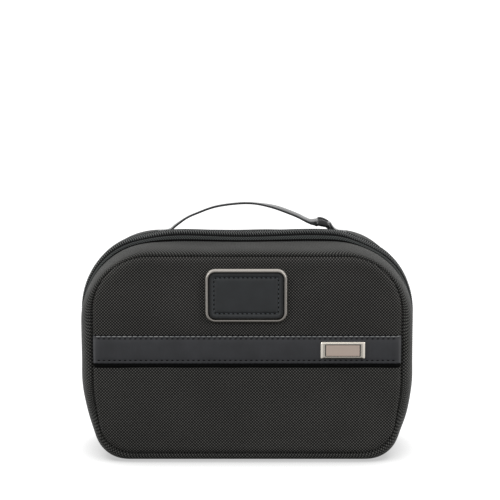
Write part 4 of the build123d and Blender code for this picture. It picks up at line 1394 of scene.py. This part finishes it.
# %% Handle ring's tab
TAB_WIDE = 9.6
round_bar = loop_round(right_bar, LOOP_RADIUS, 245.0, 62.0)
under_ply = smooth_curve([(81.0, 173.2), (76.0, 173.7), (72.3, 175.3), (69.3, 177.6), round_bar[0]], 6)
top_ply = smooth_curve([round_bar[-1], (69.7, 179.0), (72.2, 176.8), (76.0, 175.4), (80.5, 174.9)], 6)
path = stand(np.vstack([under_ply[:-1], round_bar[:-1], top_ply]), HANDLE_Y)
side, up = strap_frame(path, np.zeros(len(path)))
tab = swept("handle_ring_tab_leather", path, side, up, flat_section(TAB_WIDE), HANDLE_LEATHER)
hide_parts("handle_ring_tab", "handle_right_end")
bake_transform(tab)
print("tab", len(tab.data.vertices), "points")

# %% [markdown]
# Opened flat, the bag shows its inside: a smooth lining over thin foam in each half, a twill binding
# over the raw seam, and a gathered pocket with an elastic edge. None of it shows in the closed bag,
# but the halves turn, so all of it is made. The lining starts at the zip tape and follows the gusset
# back to the panel, and the foam is a second shell between the lining and the outer cloth.

# %% Linings and foam
FOAM_INSET = 1.7
FOAM_THICKNESS = 1.7
# How far the foam reaches past the seam, into the panel's pillow
FOAM_BULGE = 2.6
LINING_INSET = 4.0
LINING_THICKNESS = 0.4
# How far the lining's back lies inside the seam, besides the foam
LINING_GAP = 0.2
WALL_PLACES = (16.0, 22.0, 28.0, 34.0)
TURN_SHARES = (0.0, 0.35, 0.7, 0.92, 1.0)
TURN_RADIUS = 7.0
# The wall's rows end this far before the turn to the back
TURN_GAP = 4.0
LINING_EDGE = (
    # share of the way from the zip's groove to the gusset's wall, distance from the zip plane, and
    # along the base that distance and the inset from the belly
    (0.0, 5.2, 0.7, 0.9), (0.35, 6.2, 2.5, 1.6), (0.75, 8.6, 5.0, 2.8), (1.0, 11.5, 9.0, 3.8),
)
# The lining's edge is drawn a little towards a smaller outline, which rounds it
EDGE_PULL_INSET = 12.0
EDGE_PULL = 0.12
# The foam's first two rows beside the zip: extra inset and distance from the zip plane
FOAM_EDGE = ((1.0, 11.6), (0.0, 12.4))


def inner_rows(half, inset, back, start_rows):
    """Rows of an inner shell: the given ones, the gusset's wall and the turn to the back."""
    rows = list(start_rows)
    wall = [place for place in WALL_PLACES if place < back - TURN_RADIUS - TURN_GAP]
    for place in wall:
        rows.append(ring(half, outline(half.belly, inset), place))
    for share in TURN_SHARES:
        turn = share * math.pi / 2
        line = between(outline(half.belly, inset), outline(SEAM, inset), smooth(share, -0.4, 0.8))
        inner = between(line, outline(SEAM, inset + TURN_RADIUS), 1 - math.cos(turn))
        rows.append(ring(half, inner, back - TURN_RADIUS * (1 - math.sin(turn))))
    return [settle(row) for row in rows]


def lining_edge(half):
    """The lining's first rows, from under the zip's teeth to the gusset's wall."""
    valley, zip_line = chain_lines(half)
    hinge = base_share(outline(half.belly))[:, None]
    groove = between(valley, zip_line, TAPE_RISES[half.name][BED_ROW])
    rows = []
    for share, distance, base_distance, base_inset in LINING_EDGE:
        above = between(groove, outline(half.belly, LINING_INSET), share)
        pulled = between(above, outline(half.belly, EDGE_PULL_INSET), EDGE_PULL)
        above = between(above, pulled, 1 - share)
        line = between(above, outline(half.belly, base_inset), hinge)
        rows.append(ring(half, line, between(distance, base_distance, hinge[:, 0])))
    return rows


for half in (FRONT, REAR):
    rows = inner_rows(half, LINING_INSET, half.seam - LINING_GAP - FOAM_THICKNESS, lining_edge(half))
    lining = capped_shell(half.name + "_lining_cloth", rows, LINING_CLOTH, flip=half.side > 0)
    thicken(lining, LINING_THICKNESS)
    finish_mesh(lining)
    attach(lining, half.body)
    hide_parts(half.name + "_lining")
    start = [ring(half, outline(half.belly, FOAM_INSET + extra), place) for extra, place in FOAM_EDGE]
    rows = inner_rows(half, FOAM_INSET, half.seam + FOAM_BULGE, start)
    foam = capped_shell(half.name + "_foam_sheet", rows, FOAM, flip=half.side > 0)
    thicken(foam, FOAM_THICKNESS)
    finish_mesh(foam)
    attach(foam, half.body)
    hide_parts(half.name + "_foam")

# %% Inside seam bindings
BINDING_HALF_WIDTH = 3.4
BINDING_HALF_HIGH = 0.7
BINDING_INSET = 7.6
BINDING_BACK = 4.4
DIAGONAL = 0.7071
for half in (FRONT, REAR):
    line = outline(SEAM, BINDING_INSET)
    out = outward(line)
    back = half.seam - BINDING_BACK
    rows = []
    # The tape lies at 45 degrees across the corner between the panel and the gusset's wall
    for angle in np.linspace(0, 2 * math.pi, 13):
        across = math.cos(angle) * BINDING_HALF_WIDTH * DIAGONAL
        deep = math.sin(angle) * BINDING_HALF_HIGH * DIAGONAL
        rows.append(ring(half, line + out * (across - deep), back - across - deep))
    binding = net_piece(half.name + "_seam_binding_tape", settle(np.array(rows)), BINDING_CLOTH, closed=True,
                        flip=half.side < 0)
    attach(binding, half.body)
    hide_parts(half.name + "_seam_binding")
    print(binding.name, len(binding.data.vertices), "points")

# %% Pockets with elastic edges
POCKET_SPAN = (97.0, 100.0)
POCKET_BOTTOM = 24.0
POCKET_TOP = 113.0
POCKET_BULGE = 4.2
GATHERS = 46
GATHER_DEPTH = 0.55
# Up the pocket, from 0 to 1: where its bulge and its gathers set in and where they are full
BULGE_SPAN = (-0.02, 0.35)
GATHER_SPAN = (0.55, 1.0)
POCKET_COLUMNS = 277
POCKET_THICKNESS = 0.45
# How far the pocket's back lies inside the seam, besides the foam and the lining
POCKET_CLEARANCE = 0.9
# A pocket is cut a hundredth larger than it lies, for its sewn edges
ELASTIC_WIDTH = 8.0
ELASTIC_REACH = 0.995
ELASTIC_FOOT = 1 - ELASTIC_WIDTH / (POCKET_TOP - POCKET_BOTTOM)
ELASTIC_SECTION = (
    # place up the pocket and rise over its cloth, round the band and back to the start
    (ELASTIC_FOOT, -0.3), (ELASTIC_FOOT, 0.35), (ELASTIC_FOOT + 0.01, 0.6), (1.0, 0.6), (1.012, 0.35),
    (1.012, -0.5), (1.0, -0.7), (ELASTIC_FOOT + 0.01, -0.7), (ELASTIC_FOOT, -0.3),
)


def pocket_point(half, u, v):
    """A point on the pocket: u from -1 to 1 across, v from 0 at the bottom seam to 1 at the top."""
    z = between(POCKET_BOTTOM, POCKET_TOP, v)
    x = u * between(*POCKET_SPAN, v)
    sides = 1 - np.abs(u) ** 8
    bulge = POCKET_BULGE * sides * smooth(v, *BULGE_SPAN)
    gathers = GATHER_DEPTH * np.sin(u * GATHERS * math.pi) * smooth(v, *GATHER_SPAN) * sides
    back = half.seam - FOAM_THICKNESS - LINING_THICKNESS - POCKET_CLEARANCE
    return np.stack([x, half.side * (back - bulge - gathers), z], axis=-1)


for half in (FRONT, REAR):
    u, v = np.meshgrid(np.linspace(-1, 1, POCKET_COLUMNS), np.linspace(0, 1, 26))
    net = pocket_point(half, u, v)
    pocket = net_piece(half.name + "_pocket_cloth", net, LINING_CLOTH, flip=half.side < 0)
    thicken(pocket, POCKET_THICKNESS)
    finish_mesh(pocket)
    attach(pocket, half.body)
    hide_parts(half.name + "_pocket")
    tall = (POCKET_TOP - POCKET_BOTTOM) * MM
    section = []
    for place, rise in ELASTIC_SECTION:
        row = pocket_point(half, np.linspace(-ELASTIC_REACH, ELASTIC_REACH, POCKET_COLUMNS),
                           np.full(POCKET_COLUMNS, place))
        row[:, 1] -= half.side * rise
        section.append(row)
    elastic = net_piece(half.name + "_pocket_elastic_band", np.array(section), ELASTIC_CLOTH,
                        flip=half.side > 0)
    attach(elastic, half.body)
    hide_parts(half.name + "_pocket_elastic")

# %% [markdown]
# The halves are held together at the base by a strip of doubled cloth, sewn flat inside both. It is
# the hinge: when the front half turns down, the strip bends at its middle.

# %% Hinge strip
strip_low, strip_high = frame_mm("base_hinge_strip")
HINGE_STRIP_RISE = 1.5
HINGE_STRIP_THICKNESS = 0.7
HINGE_SECTION = (-4.0, -3.6, -2.4, -1.2, -0.5, 0.0, 0.5, 1.2, 2.4, 3.6, 4.0)
across, along = np.meshgrid(HINGE_SECTION, np.linspace(strip_low[0], strip_high[0], 120), indexing="ij")
net = np.stack([along, across, np.full_like(across, HINGE_STRIP_RISE)], axis=-1)
hinge_strip = net_piece("base_hinge_cloth", net, GUSSET_CLOTH)
thicken(hinge_strip, HINGE_STRIP_THICKNESS)
finish_mesh(hinge_strip)
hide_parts("base_hinge_strip")
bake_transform(hinge_strip)
print("hinge strip", len(hinge_strip.data.vertices), "points")

# %% [markdown]
# The hardware that the closed bag hides keeps the shapes of the frame's own solids and takes a worn
# metal finish: the end stops, the slider, its pull and the plates that the prongs are bent over.

# %% Zip hardware and backing plates
HARDWARE = dict(front_zip_stops=DARK_METAL, rear_zip_stops=DARK_METAL, zip_slider=DARK_METAL,
                zip_pull=DARK_METAL, patch_backing_plate=BACKING_METAL, name_plate_backing=BACKING_METAL)
WORN_EDGE = 0.15
for name, metal in HARDWARE.items():
    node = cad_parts[name]
    node.data.materials.clear()
    node.data.materials.append(metal)
    soft_edge = node.modifiers.new("soft_edge", "BEVEL")
    soft_edge.width = WORN_EDGE * MM
    soft_edge.segments = 2
    soft_edge.limit_method = "ANGLE"
    soft_edge.angle_limit = math.radians(40.0)
    soft_edge.harden_normals = True
print("metal pieces", len(HARDWARE))

# %% [markdown]
# The picture was taken in a white studio: the background is pure white, but black cloth keeps its
# tone, because little of the white wall stands in front of it. So the camera sees a white world, while
# the bag is lit by a weaker one, whose ceiling and walls each have their own brightness, and by large
# soft lights above, in front and at both sides. The floor there is so bright that nothing of it shows
# but the bag's faint contact shadow. So it is a clear sheet that only darkens where something stands
# close above it, and an opened half below it stays in sight.

# %% Studio
FLOOR_HALF = 3.0
SHADOW_REACH = 0.042
SHADOW_TONE = 0.42
floor_mesh = bpy.data.meshes.new("floor")
floor_mesh.from_pydata([(-FLOOR_HALF, -FLOOR_HALF, 0), (FLOOR_HALF, -FLOOR_HALF, 0),
                        (FLOOR_HALF, FLOOR_HALF, 0), (-FLOOR_HALF, FLOOR_HALF, 0)], [], [(0, 1, 2, 3)])
floor = bpy.data.objects.new("floor", floor_mesh)
bpy.context.scene.collection.objects.link(floor)
clear_floor, shader = new_material("overexposed_white_floor")
# This node's output is dark where something stands close above the floor
near = add_node(clear_floor, "ShaderNodeAmbientOcclusion", {"Distance": SHADOW_REACH}, samples=16)
shade = add_node(clear_floor, "ShaderNodeMapRange", {0: near.outputs["AO"], 1: 0.25, 2: 0.85,
                                                     3: SHADOW_TONE, 4: 1.0})
clear = add_node(clear_floor, "ShaderNodeBsdfTransparent", {0: shade.outputs[0]})
output = clear_floor.node_tree.nodes["Material Output"]
plug(clear_floor, clear.outputs[0], output.inputs["Surface"])
clear_floor.node_tree.nodes.remove(shader)
floor_mesh.materials.append(clear_floor)

# How bright the white world is for the camera, and its lowest light, ceiling and walls for the bag
BACKGROUND_LEVEL = 1.25
LOW_LEVEL = 0.06
SKY_LEVEL = 0.40
FRONT_LEVEL = 0.55
BACK_LEVEL = 1.15
SIDE_LEVEL = 1.1
world = bpy.data.worlds.new("white_studio")
bpy.context.scene.world = world
world.use_nodes = True
WALLS = (
    # towards x, y and z, where the light begins and is full, and how bright it is
    ((0.0, 0.0, 1.0), 0.1, 1.0, SKY_LEVEL),
    ((0.0, -0.96, 0.28), 0.5, 1.0, FRONT_LEVEL),
    ((0.0, 1.0, 0.0), 0.25, 0.9, BACK_LEVEL),
    ((-1.0, 0.0, 0.0), 0.35, 1.0, SIDE_LEVEL),
    ((1.0, 0.0, 0.0), 0.35, 1.0, SIDE_LEVEL),
)
place = add_node(world, "ShaderNodeTexCoord")
total = LOW_LEVEL
for direction, start, full, strength in WALLS:
    facing = add_node(world, "ShaderNodeVectorMath", {0: place.outputs["Generated"], 1: direction},
                      operation="DOT_PRODUCT")
    wall = add_node(world, "ShaderNodeMapRange", {0: facing.outputs["Value"], 1: start, 2: full, 4: strength})
    total = add_node(world, "ShaderNodeMath", {0: wall.outputs[0], 1: total}).outputs[0]
rays = add_node(world, "ShaderNodeLightPath")
level = add_node(world, "ShaderNodeMapRange", {0: rays.outputs["Is Camera Ray"], 3: total,
                                               4: BACKGROUND_LEVEL})
background = world.node_tree.nodes["Background"]
background.inputs["Color"].default_value = (1.0, 1.0, 1.0, 1.0)
world.node_tree.links.new(level.outputs[0], background.inputs["Strength"])
bpy.context.scene.view_settings.view_transform = "Standard"

SOFTBOXES = (
    # name, place, size across, size along, watts
    ("top_softbox", (0.0, 0.1, 1.2), 2.2, 1.2, 7.0),
    ("key_softbox", (-0.1, -0.9, 1.1), 0.8, 0.3, 0.5),
    ("left_softbox", (-1.2, -0.9, 0.75), 0.4, 0.9, 5.0),
    ("right_softbox", (1.3, -0.7, 0.8), 0.4, 0.9, 6.0),
)
LIGHT_AIM = Vector((0.0, 0.0, 0.09))
for name, place, wide, long, watts in SOFTBOXES:
    data = bpy.data.lights.new(name, "AREA")
    data.shape = "RECTANGLE"
    data.size = wide
    data.size_y = long
    data.energy = watts
    light = bpy.data.objects.new(name, data)
    light.location = place
    light.rotation_mode = "QUATERNION"
    light.rotation_quaternion = (LIGHT_AIM - light.location).to_track_quat("-Z", "Y")
    bpy.context.scene.collection.objects.link(light)
print("walls of light", len(WALLS), "softboxes", len(SOFTBOXES))
